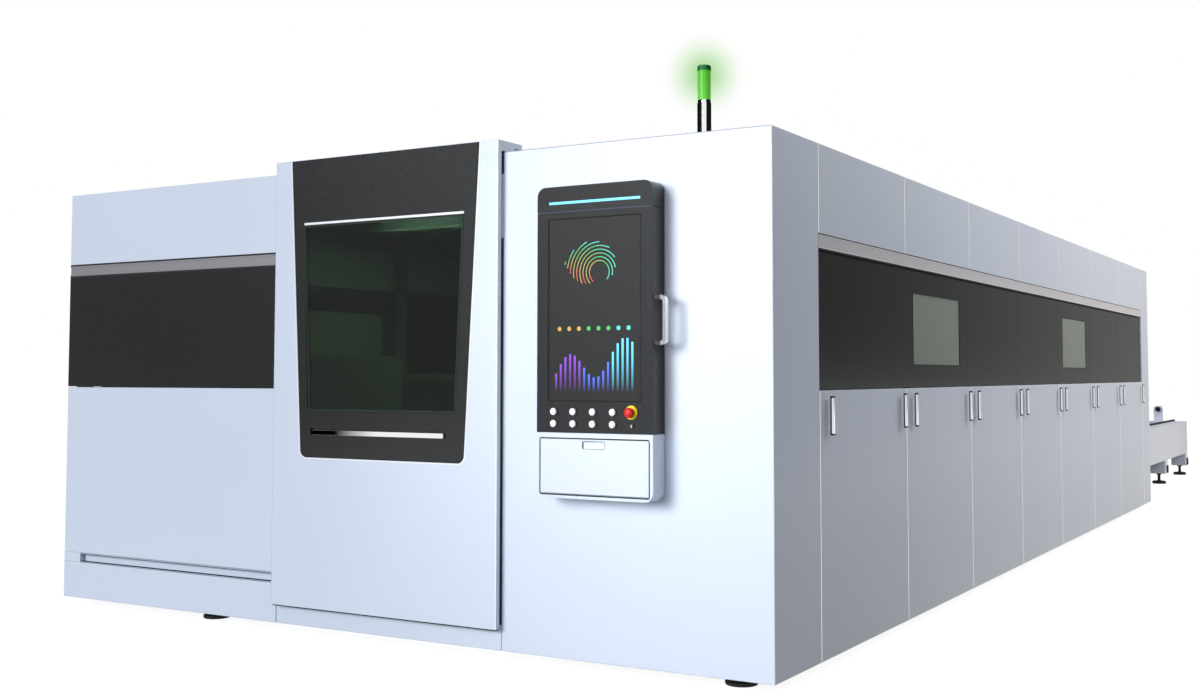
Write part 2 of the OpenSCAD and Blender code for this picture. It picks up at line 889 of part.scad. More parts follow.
// Place of push-button n, counted from the upper left
function button_at(n) = [
  button_x0 + (n - 1) % button_cols * button_pitch, con_y0, button_z[floor((n - 1) / button_cols)]
];

// A hole through the console's face
module face_hole(p, d) {
  translate([p[0], con_y0 - cut, p[2]]) rotate([-90, 0, 0]) cylinder(d = d, h = con_wall + 2 * cut);
}

// Dark open-backed shell with the screen's cut-out and the holes of the switches
module console_housing() {
  y1 = -con_gap;
  z1 = cap_z0 - con_seam / 2;
  z0 = housing_z0 + con_seam / 2;
  w = con_wall;
  notch_z = rib_t / 2 + arm_t + 6;
  color(dark) {
    difference() {
      union() {
        difference() {
          block([con_x0, con_y0, z0], [con_x1, y1, z1]);
          block([con_x0 + w, con_y0 + w, z0 + w], [con_x1 - w, y1 + cut, z1 - w]);
        }
        for (z = pivot_z)
          block(
            [con_x0 + w - cut, pivot_y - 34, z - rib_t / 2],
            [con_x0 + 44, pivot_y + 9, z + rib_t / 2]
          );
      }
      block(
        [screen_x0, con_y0 - cut, screen_z0],
        [screen_x0 + screen_w, con_y0 + w + cut, screen_z0 + screen_h]
      );
      for (n = [1:8]) face_hole(button_at(n), stem_d + 2 * fit);
      face_hole([stop_x, 0, stop_z], stem_d + 2 * fit);
      face_hole([key_x, 0, key_z], key_d - 4 + 2 * fit);
      for (z = pivot_z) {
        translate([pivot_x, pivot_y, z - rib_t]) cylinder(r = pivot_r + pivot_run, h = 2 * rib_t);
        for (s = [-1, 1])
          translate([con_x0 - cut, pivot_y - 12, s > 0 ? z + rib_t / 2 : z - notch_z])
            cube([w + 2 * cut, -pivot_y + 12 + cut, notch_z - rib_t / 2]);
        translate([con_x0 - cut, pivot_y + pivot_r, z - notch_z])
          cube([w + 2 * cut, -pivot_y, 2 * notch_z]);
      }
    }
  }
}

// Outline of a console shell with two rounded corners, on top or below
module shell_outline(w, h, r) {
  union() {
    square([w, h - r]);
    translate([r, 0]) square([w - 2 * r, h]);
    for (x = [r, w - r]) translate([x, h - r]) circle(r = r);
  }
}

// Set-back edge that fills a seam between two console shells
module seam_tongue(z0, z1) {
  block([con_x0 + tongue_in, con_y0 + tongue_in, z0], [con_x1 - tongue_in, -con_gap, z1]);
}

module console_cap() {
  z0 = cap_z0 + con_seam / 2;
  h = con_top - z0;
  w = con_wall;
  color(dark)
    difference() {
      union() {
        translate([con_x0, 0, z0]) upright(con_y0, con_d - con_gap) shell_outline(con_w, h, con_r);
        seam_tongue(cap_z0 - con_seam / 2 + fit, z0 + cut);
      }
      translate([con_x0 + w, 0, z0 + w])
        upright(con_y0 + 2 * w + strip_t, con_d) shell_outline(con_w - 2 * w, h - 2 * w, con_r - w);
      block(
        [screen_x0, con_y0 - cut, strip_z0],
        [screen_x0 + screen_w, con_y0 + strip_sink + strip_t, strip_z0 + strip_h]
      );
    }
}

module light_strip() {
  color([0.35, 0.85, 0.95])
    block(
      [screen_x0 + fit, con_y0 + strip_sink, strip_z0 + fit],
      [screen_x0 + screen_w - fit, con_y0 + strip_sink + strip_t - fit, strip_z0 + strip_h - fit]
    );
}

module screen() {
  y0 = con_y0 + screen_sink;
  lip = 6;
  color([0.08, 0.08, 0.09])
    union() {
      block(
        [screen_x0 + fit, y0, screen_z0 + fit],
        [screen_x0 + screen_w - fit, y0 + screen_t, screen_z0 + screen_h - fit]
      );
      block(
        [screen_x0 - lip, con_y0 + con_wall + fit, screen_z0 - lip],
        [screen_x0 + screen_w + lip, y0 + screen_t, screen_z0 + screen_h + lip]
      );
    }
}

flap_x0 = con_x0 + flap_rim;
flap_x1 = con_x1 - flap_rim;
flap_z0 = con_z0 + flap_rim_low;
flap_z1 = housing_z0 - flap_rim_top;
flap_axis_y = con_y0 + flap_t / 2;
flap_axis_z = flap_z0 + flap_gap + flap_t / 2;
flap_pin_r = 3;

// Pins at both ends of the flap's round lower edge
module flap_pins(r) {
  length = 10;
  for (x = [flap_x0 - length + flap_gap, flap_x1 - flap_gap])
    translate([x, flap_axis_y, flap_axis_z]) rotate([0, 90, 0]) cylinder(r = r, h = length);
}

// White box with rounded lower corners and a deep pocket for the keyboard
module keyboard_case() {
  h = case_h - con_seam / 2;
  back = 6;
  color(white)
    difference() {
      union() {
        translate([con_x0, 0, con_z0]) upright(con_y0, con_d - con_gap)
          translate([0, h]) mirror([0, 1]) shell_outline(con_w, h, con_r);
        seam_tongue(con_z0 + h - cut, housing_z0 + con_seam / 2 - fit);
      }
      block([flap_x0, con_y0 - cut, flap_z0], [flap_x1, -con_gap - back, flap_z1]);
      flap_pins(flap_pin_r + pivot_run);
    }
}

// Drop-down lid with a finger pull near its upper edge
module keyboard_flap() {
  pull_w = 103;
  pull_h = 28;
  pull_d = 7;
  mid = (flap_x0 + flap_x1) / 2;
  x0 = flap_x0 + flap_gap;
  x1 = flap_x1 - flap_gap;
  color(white) {
    difference() {
      union() {
        block([x0, con_y0, flap_axis_z], [x1, con_y0 + flap_t, flap_z1 - flap_gap]);
        translate([x0, flap_axis_y, flap_axis_z]) rotate([0, 90, 0]) cylinder(d = flap_t, h = x1 - x0);
        flap_pins(flap_pin_r);
      }
      block(
        [mid - pull_w / 2, con_y0 - cut, flap_z1 - 10 - pull_h],
        [mid + pull_w / 2, con_y0 + pull_d, flap_z1 - 10]
      );
    }
  }
}

// Keyboard clipped to the inside of the lid: a tray with rows of keys
module keyboard() {
  w = 420;
  h = 140;
  t = 12;
  key = 22;
  rows = 5;
  cols = 15;
  key_t = 5;
  step_x = (w - 20) / cols;
  step_z = (h - 16) / rows;
  x0 = (flap_x0 + flap_x1 - w) / 2;
  y0 = con_y0 + flap_t;
  z0 = flap_z0 + 40;
  key_x0 = x0 + 10 + (step_x - key) / 2;
  key_z0 = z0 + 8 + (step_z - key) / 2;
  color([0.2, 0.2, 0.22])
    union() {
      block([x0, y0, z0], [x0 + w, y0 + t, z0 + h]);
      for (i = [0:cols - 1], j = [0:rows - 1])
        translate([key_x0 + i * step_x, y0 + t - cut, key_z0 + j * step_z])
          cube([key, key_t + cut, key]);
    }
}

// Bow handle on the console's side, bent from flat bar
module console_handle() {
  bar_t = 13;
  bar_w = 22;
  leg = 16;
  bend_r = 22;
  front_in = 7;
  color(chrome)
    translate([con_x1, 0, con_z0 + side_grip_z])
      upright(con_y0 + front_in, bar_w)
        difference() {
          far_rounded(side_grip_gap + bar_t, 0, side_grip_l, bend_r);
          translate([-cut, 0])
            far_rounded(side_grip_gap + cut, leg, side_grip_l - leg, bend_r - bar_t);
        }
}

// A turned piece on the console's face, its axis along Y and its outline given from the face outwards
module turned(p) {
  translate([p[0], con_y0, p[2]]) rotate([90, 0, 0]) rotate_extrude() children();
}

module estop_collar() {
  bore = stem_d / 2 + 1;
  r = collar_d / 2;
  color([0.95, 0.8, 0.1])
    turned([stop_x, 0, stop_z])
      polygon([[bore, 0], [r, 0], [r, 3], [r - 4, collar_t], [bore, collar_t]]);
}

module estop_button() {
  r = stop_d / 2;
  base = collar_t + stop_travel + 1;
  color([0.8, 0.08, 0.06])
    turned([stop_x, 0, stop_z])
      polygon([
        [0, -20], [stem_d / 2, -20], [stem_d / 2, base], [r - 3, base], [r, base + 4], [r, base + 10],
        [r - 3, base + 15], [r - 9, stop_nose - 1.5], [r - 14, stop_nose], [0, stop_nose]
      ]);
}

// Key-operated switch with a slot across its face
module key_switch() {
  slot_w = 3;
  slot_l = 12;
  face = 6;
  color(chrome)
    difference() {
      turned([key_x, 0, key_z])
        polygon([
          [0, -16], [key_d / 2 - 2, -16], [key_d / 2 - 2, fit], [key_d / 2, fit],
          [key_d / 2, face - 1], [key_d / 2 - 1, face], [0, face]
        ]);
      translate([key_x - slot_w / 2, con_y0 - face - cut, key_z - slot_l / 2])
        cube([slot_w, 3 + cut, slot_l]);
    }
}

// Push-button with a domed rim
module push_button(n) {
  r = button_d / 2;
  base = button_travel + 0.5;
  top = base + button_cap_t;
  color([0.93, 0.94, 0.95])
    turned(button_at(n))
      polygon([
        [0, -20], [stem_d / 2, -20], [stem_d / 2, base], [r, base], [r, top - 3], [r - 2, top - 0.8],
        [r - 5, top], [0, top]
      ]);
}

// Sheet cabinet with louvre slots low in its rear face and an open base
module cabinet(a, b) {
  wall = 3;
  slots = 8;
  slot = [b[0] - a[0] - 400, 2 * wall, 12];
  step = 36;
  difference() {
    block(a, b);
    block(a + [wall, wall, -cut], b - [wall, wall, wall]);
    for (i = [0:slots - 1])
      translate([a[0] + 200, b[1] - wall - cut, a[2] + 140 + i * step]) cube(slot);
  }
}

// Laser source on the left and control cabinet on the right, standing on the front cross members
module power_cabinets() {
  y0 = panel_d + tube + 15;
  y1 = cross_rows[1] + cross_d / 2;
  z0 = cross_top + fit;
  source_drop = 850;
  control_drop = 300;
  color([0.75, 0.77, 0.8]) {
    cabinet([-frame_in + 40, y0, z0], [door_x0 - tube - 60, y1, z_roof - source_drop]);
    cabinet([door_x1 + tube + 60, y0, z0], [frame_in - 40, y1, z_roof - control_drop]);
  }
}

// Guide rails for the gantry and the linear motors' magnet tracks beside them
module gantry_tracks() {
  guide_x = (bed_x0 + bed_x1) / 2 - guide_w / 2;
  magnet_w = 50;
  color(steel) {
    blocks([guide_x, bed_y0 + 20, bed_top], [guide_x + guide_w, bed_y1 - 20, bed_top + guide_h]);
    blocks([bed_x0 + 8, bed_y0 + 20, bed_top], [bed_x0 + 8 + magnet_w, bed_y1 - 20, bed_top + 14]);
  }
}

// Welded cross beam on two trucks, with the cross guides on its front face
module gantry_beam() {
  x1 = bed_x1 - 10;
  y0 = gantry_front;
  y1 = gantry_front + gantry_d;
  slope = 90;
  wall = 14;
  z0 = gantry_z0;
  z1 = gantry_z0 + gantry_h;
  truck_l = 460;
  beam_half = bed_x1 - 20;
  color([0.55, 0.6, 0.68]) {
    translate([-beam_half, 0, 0])
      rotate([90, 0, 90])
        linear_extrude(2 * beam_half)
          difference() {
            polygon([[y0, z0], [y1, z0], [y1, z1 - slope], [y1 - slope, z1], [y0, z1]]);
            polygon([
              [y0 + wall, z0 + wall], [y1 - wall, z0 + wall], [y1 - wall, z1 - slope - wall / 2],
              [y1 - slope - wall / 2, z1 - wall], [y0 + wall, z1 - wall]
            ]);
          }
    blocks(
      [bed_x0 + 4, gantry_y - truck_l / 2, truck_z0],
      [x1, gantry_y + truck_l / 2, truck_z0 + truck_h]
    );
    for (z = [z0 + 30, z1 - 30 - cross_guide])
      block([-beam_half + 60, y0 - cross_guide - fit, z], [beam_half - 60, y0 - fit, z + cross_guide]);
  }
}

carriage_w = 360;
carriage_t = 24;
cross_guide = 24;
carriage_y1 = gantry_front - fit - cross_guide - fit;
carriage_y0 = carriage_y1 - carriage_t;
column_w = 170;
column_d = 110;
column_h = 620;

// Saddle plate on the cross guides with the closed housing of the vertical drive
module carriage() {
  z0 = gantry_z0 + 10;
  z1 = gantry_z0 + gantry_h - 10;
  motor_r = 55;
  motor_h = 170;
  color([0.72, 0.74, 0.78])
    union() {
      block([-carriage_w / 2, carriage_y0, z0], [carriage_w / 2, carriage_y1, z1]);
      block(
        [-column_w / 2, carriage_y0 - column_d, z0 + 60],
        [column_w / 2, carriage_y0 + cut, z0 + column_h]
      );
      translate([0, carriage_y0 - column_d / 2, z0 + column_h - cut]) cylinder(r = motor_r, h = motor_h);
    }
}

// Slide plate, turned head body with its collimator and optics drawer, and the copper nozzle
module cutting_head() {
  y1 = carriage_y0 - column_d - fit;
  plate_t = 20;
  head_y = y1 - plate_t - 62;
  plate_z0 = gantry_z0 + 130;
  plate_h = 330;
  drawer = 96;
  drawer_z = 120;
  drawer_h = 40;
  optics_z = 250;
  collar_z = 330;
  tube_z = 430;
  plug_z = 500;
  fibre_z = 560;
  color([0.8, 0.81, 0.83])
    union() {
      block([-75, y1 - plate_t, plate_z0], [75, y1, plate_z0 + plate_h]);
      block([-55, head_y, plate_z0 + 60], [55, y1 - plate_t + cut, plate_z0 + 230]);
      translate([0, head_y, head_rest])
        rotate_extrude()
          polygon([
            [0, 0], [3, 0], [9, 14], [14, 16], [14, 30], [30, 62], [30, 84], [46, 92],
            [46, optics_z], [56, optics_z + 4], [56, collar_z], [40, collar_z + 10], [40, tube_z],
            [24, tube_z + 20], [24, plug_z], [16, plug_z + 6], [16, fibre_z], [0, fibre_z]
          ]);
      block(
        [-drawer / 2, head_y - 54, head_rest + drawer_z],
        [drawer / 2, head_y, head_rest + drawer_z + drawer_h]
      );
    }
}

// Upper rails on the beams and lower rails on the beams' inner faces, from the bed to the table's end
module pallet_rails() {
  lower_z = lower_rail_top - lower_rail_h;
  color(black) {
    blocks(
      [upper_rail_x - rail_s / 2, track_y0, beam_top],
      [upper_rail_x + rail_s / 2, table_y1 - rail_end, rail_top]
    );
    blocks([beam_x0 - lower_rail_w, track_y0, lower_z], [beam_x0, end_beam_y0 - rail_end, lower_rail_top]);
  }
}

// Legs stand at the table's end and at a fixed pitch in front of it
function leg_rows() = [for (i = [2:-1:0]) table_y1 - leg_d / 2 - i * leg_pitch];

// Side beams, legs with a bolt pocket, and cross members, with the exchange gearmotor hung below
module table_frame() {
  pocket = [20, 60, 75];
  brace_d = 80;
  brace_h = 65;
  gearbox = 180;
  gearbox_h = 130;
  motor_r = 60;
  motor_l = 240;
  motor_drop = 66;
  drive_x = 900;
  color(white) {
    both_sides()
      difference() {
        block([beam_x0, enc_l + fit, beam_z0], [beam_x1, table_y1, beam_top]);
        block(
          [beam_x0 + beam_wall, enc_l + fit - cut, beam_z0 + beam_wall],
          [beam_x1 - beam_wall, table_y1 - beam_wall, beam_top - beam_wall]
        );
      }
    both_sides()
      for (y = leg_rows())
        difference() {
          block([beam_x0, y - leg_d / 2, leg_z0], [beam_x1, y + leg_d / 2, beam_z0 - fit]);
          translate([beam_x1 - pocket[0], y - pocket[1] / 2 + 40, leg_z0 + 8]) cube(pocket + [cut, 0, 0]);
        }
    for (y = leg_rows())
      hollow(
        [-beam_x0 + fit, y - brace_d / 2, beam_z0], [beam_x0 - fit, y + brace_d / 2, beam_z0 + brace_h],
        beam_wall, 0
      );
    hollow(
      [-beam_x0 + fit, end_beam_y0, beam_top - end_beam_h], [beam_x0 - fit, table_y1, beam_top],
      beam_wall, 0
    );
    end_stops();
  }
  color(steel)
    translate([drive_x, leg_rows()[0], beam_z0]) {
      block([-gearbox / 2, -gearbox / 2, -gearbox_h], [gearbox / 2, gearbox / 2, -fit]);
      translate([-gearbox / 2 - fit, 0, -motor_drop])
        rotate([0, -90, 0]) cylinder(r = motor_r, h = motor_l);
    }
}

stop_plate_x = beam_x0 - 158;
stop_plate_w = 106;
stop_plate_t = 20;
stop_plate_top = z_skirt + 778;
buffer_z = stop_plate_top - 42;
buffer_r = 29;
buffer_l = 40;

// Plates with clipped corners that stop the upper pallet
module end_stops() {
  half = stop_plate_w / 2;
  clip = 22;
  both_sides()
    upright(table_y1 - stop_plate_t, stop_plate_t)
      translate([stop_plate_x, 0])
        polygon([
          [-half, beam_top + fit], [half, beam_top + fit], [half, stop_plate_top - clip],
          [half - clip, stop_plate_top], [-half + clip, stop_plate_top], [-half, stop_plate_top - clip]
        ]);
}

module stop_buffers() {
  color(black)
    both_sides()
      translate([stop_plate_x, table_y1 - stop_plate_t, buffer_z])
        rotate([90, 0, 0])
          rotate_extrude()
            polygon([
              [0, 0], [buffer_r, 0], [buffer_r, buffer_l - 8], [buffer_r - 8, buffer_l], [9, buffer_l],
              [9, buffer_l - 6], [0, buffer_l - 6]
            ]);
}

// Open trays that stand on the cross members under the pallets
module scrap_trays() {
  wall = 4;
  h = 130;
  x1 = beam_x0 - tray_clear;
  z0 = cross_top + fit;
  color(steel)
    for (i = [2:4])
      let (y0 = cross_rows[i] - 650, y1 = cross_rows[i] + 650)
        difference() {
          block([-x1, y0, z0], [x1, y1, z0 + h]);
          block([-x1 + wall, y0 + wall, z0 + wall], [x1 - wall, y1 - wall, z0 + h + cut]);
        }
}

// Outline of a slat in X and Z: a straight foot and a row of pointed teeth
module slat_outline(half) {
  step = 2 * half / teeth;
  polygon([
    [-half, 0], [half, 0],
    for (i = [teeth - 1:-1:0]) each [
      [-half + (i + 1) * step, slat_h - tooth_h], [-half + (i + 0.5) * step, slat_h]
    ],
    [-half, slat_h - tooth_h]
  ]);
}

// Axle rows of a pallet that starts at y
function axle_rows(y) = [y + axle_inset, y + pallet_l - axle_inset];

// Pallet frame of tubes with sawtooth slats, running on wheels whose rail top is at z
module pallet(y, z, half) {
  axle_z = z + wheel_lift + wheel_r;
  z0 = axle_z - 30;
  z1 = z0 + pallet_member_h;
  slat_z = z1 - 10;
  inner = half - pallet_member;
  step = (pallet_l - 2 * pallet_member) / slats;
  bar_w = 40;
  difference() {
    hollows([inner, y, z0], [half, y + pallet_l, z1], pallet_wall, 1);
    for (row = axle_rows(y))
      translate([-half - cut, row, axle_z])
        rotate([0, 90, 0]) cylinder(r = axle_r + axle_run, h = 2 * (half + cut));
  }
  for (row = [y, y + pallet_l - pallet_member])
    hollow([-inner + fit, row, z0], [inner - fit, row + pallet_member, z1], pallet_wall, 0);
  for (x = [-inner / 2, inner / 2])
    difference() {
      block(
        [x - bar_w / 2, y + pallet_member + fit, z0 + 10],
        [x + bar_w / 2, y + pallet_l - pallet_member - fit, slat_z - fit]
      );
      for (row = axle_rows(y))
        translate([x - bar_w / 2 - cut, row, axle_z])
          rotate([0, 90, 0]) cylinder(r = axle_r + 4, h = bar_w + 2 * cut);
    }
  for (i = [0:slats - 1])
    translate([0, 0, slat_z])
      upright(y + pallet_member + (i + 0.5) * step, slat_t) slat_outline(inner - fit);
}

// Wheel axle across a pallet at y: a shaft with a wheel at both ends
module axle(y, z, wheel_x) {
  translate([0, y, z + wheel_lift + wheel_r])
    rotate([0, 90, 0])
      rotate_extrude()
        polygon(axle_outline(wheel_x));
}

// Half section of an axle from end to end
function axle_outline(x) =
  let (a = x - wheel_w / 2, b = x + wheel_w / 2)
  [
    [0, -b], [wheel_r - 2, -b], [wheel_r, -b + 2], [wheel_r, -a], [axle_r, -a],
    [axle_r, a], [wheel_r, a], [wheel_r, b - 2], [wheel_r - 2, b], [0, b]
  ];

lower_wheel_x = beam_x0 - lower_rail_w / 2;
lower_half = lower_wheel_x - wheel_w / 2 - 8;

module upper_pallet() {
  color(steel) pallet(pallet_y, rail_top, pallet_half);
}

module lower_pallet() {
  color(steel) pallet(pallet_out_y, lower_rail_top, lower_half);
}

module upper_axle(i) {
  color(chrome) axle(axle_rows(pallet_y)[i], rail_top, upper_rail_x);
}

module lower_axle(i) {
  color(chrome) axle(axle_rows(pallet_out_y)[i], lower_rail_top, lower_wheel_x);
}

placed() machine_bed();
placed() enclosure_frame();
placed() levelling_feet();
placed() front_panels();
placed() front_plinths();
placed() side_columns();
placed() upper_panels();
placed() band_panels();
placed() access_panels();
placed() access_handles();
placed() trim_strips();
placed() side_windows();
placed() roof_panels();
placed() rear_wall();
placed() rear_shutter();
placed() duct_collar();
placed() tower_base();
placed() tower_lens();
placed() door_guide_track();
placed() door_rail();
placed() door_leaf();
placed() door_fascia();
placed() door_window();
placed() door_handle();
placed() door_runners();
placed() console_hinges();
placed() console_housing();
placed() console_cap();
placed() light_strip();
placed() screen();
placed() keyboard_case();
placed() console_handle();
placed() estop_collar();
placed() estop_button();
placed() key_switch();
placed() keyboard_flap();
placed() keyboard();
placed() push_button(1);  // push_button_1
placed() push_button(2);  // push_button_2
placed() push_button(3);  // push_button_3
placed() push_button(4);  // push_button_4
placed() push_button(5);  // push_button_5
placed() push_button(6);  // push_button_6
placed() push_button(7);  // push_button_7
placed() push_button(8);  // push_button_8
placed() power_cabinets();
placed() gantry_tracks();
placed() gantry_beam();
placed() carriage();
placed() cutting_head();
placed() pallet_rails();
placed() table_frame();
placed() stop_buffers();
placed() scrap_trays();
placed() upper_pallet();
placed() lower_pallet();
placed() upper_axle(0);  // upper_front_axle
placed() upper_axle(1);  // upper_rear_axle
placed() lower_axle(0);  // lower_front_axle
placed() lower_axle(1);  // lower_rear_axle
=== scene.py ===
"""Looks of an enclosed sheet-metal laser cutting machine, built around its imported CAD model.

The part's frame is in metres: +X to the operator's right, +Y from the front to the exchange table, +Z up
from the floor. Sizes in the classes are in millimetres, with y from the enclosure's front face, and are
turned to metres once. The studio round the part is given in metres.
"""

import json
import logging
import math
from dataclasses import dataclass, field
from enum import Enum

import bmesh
import bpy
from mathutils import Matrix, Vector

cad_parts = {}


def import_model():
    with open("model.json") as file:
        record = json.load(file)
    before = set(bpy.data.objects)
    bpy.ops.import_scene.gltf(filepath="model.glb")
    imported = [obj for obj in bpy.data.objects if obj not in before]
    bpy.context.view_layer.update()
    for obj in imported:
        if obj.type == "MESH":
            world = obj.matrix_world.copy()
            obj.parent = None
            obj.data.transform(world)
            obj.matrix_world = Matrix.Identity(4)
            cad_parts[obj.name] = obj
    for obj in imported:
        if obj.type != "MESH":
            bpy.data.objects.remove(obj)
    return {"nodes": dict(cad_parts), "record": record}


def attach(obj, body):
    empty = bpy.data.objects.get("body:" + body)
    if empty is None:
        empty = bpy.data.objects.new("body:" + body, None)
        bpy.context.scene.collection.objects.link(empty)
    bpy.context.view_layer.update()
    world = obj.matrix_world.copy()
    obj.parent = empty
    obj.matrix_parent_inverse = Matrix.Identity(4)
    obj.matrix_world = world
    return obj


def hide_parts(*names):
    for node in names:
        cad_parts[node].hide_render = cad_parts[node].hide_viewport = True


LOG = logging.getLogger("laser_machine")
MM = 0.001
# Distance from the enclosure's front face to the part's origin
MID_Y = 6329.5
SIDES = (-1, 1)
# Edges that turn by more than this keep a sharp shading
SHARP_DEG = 35.0
# Sides of a turned piece, and of one rounded corner of an outline
TURN_STEPS = 32
CORNER_STEPS = 8
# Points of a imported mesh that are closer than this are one, and faces that turn by less are one face
WELD_M = 1e-5
FLAT_DEG = 0.3
# Outer edges that turn by more get a radius where the faces beside them are this many radii wide
FOLD_DEG = 32.0
FOLD_ROOM = 2.2
FOLD_STEPS = 3
# Edges of a small piece that turn by more get a radius where it has one
BEAD_DEG = 40.0
BEAD_STEPS = 2

Span = tuple[float, float]
Point = tuple[float, float]
Place = tuple[float, float, float]
Box = tuple[Span, Span, Span]
Panel = tuple[float, float, float, float]


class Axis(Enum):
    """Direction that a turned piece points along."""

    UP = (0, 0, 1)
    FRONT = (0, -1, 0)


class Row(Enum):
    """Direction in which the diodes behind a lens follow each other."""

    ACROSS = "X"
    UPRIGHT = "Z"


class Ray(Enum):
    """Kind of ray that can pass by a piece of the studio."""

    CAMERA = "visible_camera"
    DIFFUSE = "visible_diffuse"
    GLOSSY = "visible_glossy"
    TRANSMISSION = "visible_transmission"
    SHADOW = "visible_shadow"


class LampKind(Enum):
    """Kind of lamp, by Blender's name."""

    SUN = "SUN"
    AREA = "AREA"


def linear(code: str) -> tuple[float, float, float, float]:
    """Turns an sRGB hex colour to linear light.

    Args:
        code: Six hex digits.

    Returns:
        The colour as linear red, green and blue with full opacity.
    """
    channels = [int(code[i : i + 2], 16) / 255 for i in (0, 2, 4)]
    light = [c / 12.92 if c <= 0.04045 else ((c + 0.055) / 1.055) ** 2.4 for c in channels]
    return (*light, 1.0)


def at(x: float, y: float, z: float) -> Vector:
    """Turns a place in millimetres, with y from the front face, to metres in the part's frame."""
    return Vector((x, y - MID_Y, z)) * MM


def add(
    tree: bpy.types.NodeTree,
    kind: str,
    values: dict[str | int, object] | None = None,
    links: dict[str | int, bpy.types.NodeSocket] | None = None,
    **settings: object,
) -> bpy.types.Node:
    """Adds a node with its settings, socket values and incoming links.

    Args:
        tree: Node tree that gets the node.
        kind: Blender's type name of the node.
        values: Constant for each named input.
        links: Output socket that feeds each named input.
        **settings: Properties of the node itself.

    Returns:
        The new node.
    """
    made = tree.nodes.new(kind)
    for key, value in settings.items():
        setattr(made, key, value)
    for key, value in (values or {}).items():
        made.inputs[key].default_value = value
    for key, socket in (links or {}).items():
        tree.links.new(socket, made.inputs[key])
    return made


def bare_material(name: str) -> bpy.types.Material:
    """Makes a material that has no nodes yet.

    Args:
        name: Name of the material.

    Returns:
        The new material.
    """
    made = bpy.data.materials.new(name)
    made.use_nodes = True
    made.node_tree.nodes.clear()
    return made


@dataclass
class Skin:
    """Nodes of a material in the making, with the point's place in the part's frame."""

    tree: bpy.types.NodeTree
    shader: bpy.types.Node
    place: bpy.types.NodeSocket

    def feed(self, entry: str, socket: bpy.types.NodeSocket) -> None:
        """Links a socket to one of the shader's inputs."""
        self.tree.links.new(socket, self.shader.inputs[entry])

    def grain(
        self, size_mm: float, rough: Span, relief: Span = (0.0, 0.0), detail: float = 3.0, gain: float = 0.5,
        base: bpy.types.NodeSocket | None = None,
    ) -> bpy.types.NodeSocket:
        """Adds a pattern that varies the roughness and, where it has a height, the relief.

        Args:
            size_mm: Size of the pattern's largest marks.
            rough: Roughness at the pattern's lowest and highest level.
            relief: Height in millimetres and the share of it that shows, or zeros for none.
            detail: Number of finer layers in the pattern.
            gain: How strong the finer layers are.
            base: Normal of a coarser relief that this one lies on.

        Returns:
            The pattern's level, from 0 to 1.
        """
        noise = add(
            self.tree, "ShaderNodeTexNoise",
            {"Scale": 1 / (size_mm * MM), "Detail": detail, "Roughness": gain}, {"Vector": self.place},
        )
        level = noise.outputs["Fac"]
        spread = add(
            self.tree, "ShaderNodeMapRange", {"To Min": rough[0], "To Max": rough[1]}, {"Value": level}
        )
        self.feed("Roughness", spread.outputs["Result"])
        height_mm, share = relief
        if height_mm:
            links = {"Height": level} if base is None else {"Height": level, "Normal": base}
            bump = add(
                self.tree, "ShaderNodeBump", {"Strength": share, "Distance": height_mm * MM}, links
            )
            self.feed("Normal", bump.outputs["Normal"])
        return level


@dataclass(frozen=True)
class Finish:
    """A surface finish that makes one material, shared by every piece that has it."""

    name: str
    colour: str

    def material(self) -> bpy.types.Material:
        """Makes the finish's material at its first use.

        Returns:
            The material.
        """
        known = bpy.data.materials.get(self.name)
        if known:
            return known
        made = bare_material(self.name)
        tree = made.node_tree
        shader = add(tree, "ShaderNodeBsdfPrincipled", {"Base Color": linear(self.colour)})
        add(tree, "ShaderNodeOutputMaterial", links={"Surface": shader.outputs["BSDF"]})
        self.surface(Skin(tree, shader, add(tree, "ShaderNodeTexCoord").outputs["Object"]))
        return made

    def surface(self, skin: Skin) -> None:
        """Adds what the finish shows beyond its plain colour."""
        raise NotImplementedError


@dataclass(frozen=True)
class PowderCoat(Finish):
    """Polyester powder coat baked on sheet steel: an even satin film with a soft orange peel."""

    shade: str
    roughness: float = 0.42
    spread: float = 0.05
    drift_mm: float = 900.0
    # The real peel of about 2 mm is finer than a pixel here, so it is drawn coarser
    peel_mm: float = 14.0
    peel_relief: Span = (0.05, 0.4)
    # Sheet panels are never quite flat: a slow wave of the sheet between its folds
    wave_mm: float = 420.0
    wave_relief: Span = (0.5, 0.5)

    def surface(self, skin: Skin) -> None:
        """Adds the slow drift of tone, the wave of the sheet and the peel.

        Args:
            skin: Nodes of the material.
        """
        drift, wave = (
            add(
                skin.tree, "ShaderNodeTexNoise", {"Scale": 1 / (size_mm * MM), "Detail": detail},
                {"Vector": skin.place},
            )
            for size_mm, detail in ((self.drift_mm, 2.0), (self.wave_mm, 1.0))
        )
        tone = add(
            skin.tree, "ShaderNodeMix", {6: linear(self.colour), 7: linear(self.shade)},
            {0: drift.outputs["Fac"]}, data_type="RGBA",
        )
        skin.feed("Base Color", tone.outputs[2])
        height_mm, share = self.wave_relief
        slow = add(
            skin.tree, "ShaderNodeBump", {"Strength": share, "Distance": height_mm * MM},
            {"Height": wave.outputs["Fac"]},
        )
        rough = (self.roughness - self.spread, self.roughness + self.spread)
        skin.grain(self.peel_mm, rough, self.peel_relief, detail=2.0, base=slow.outputs["Normal"])


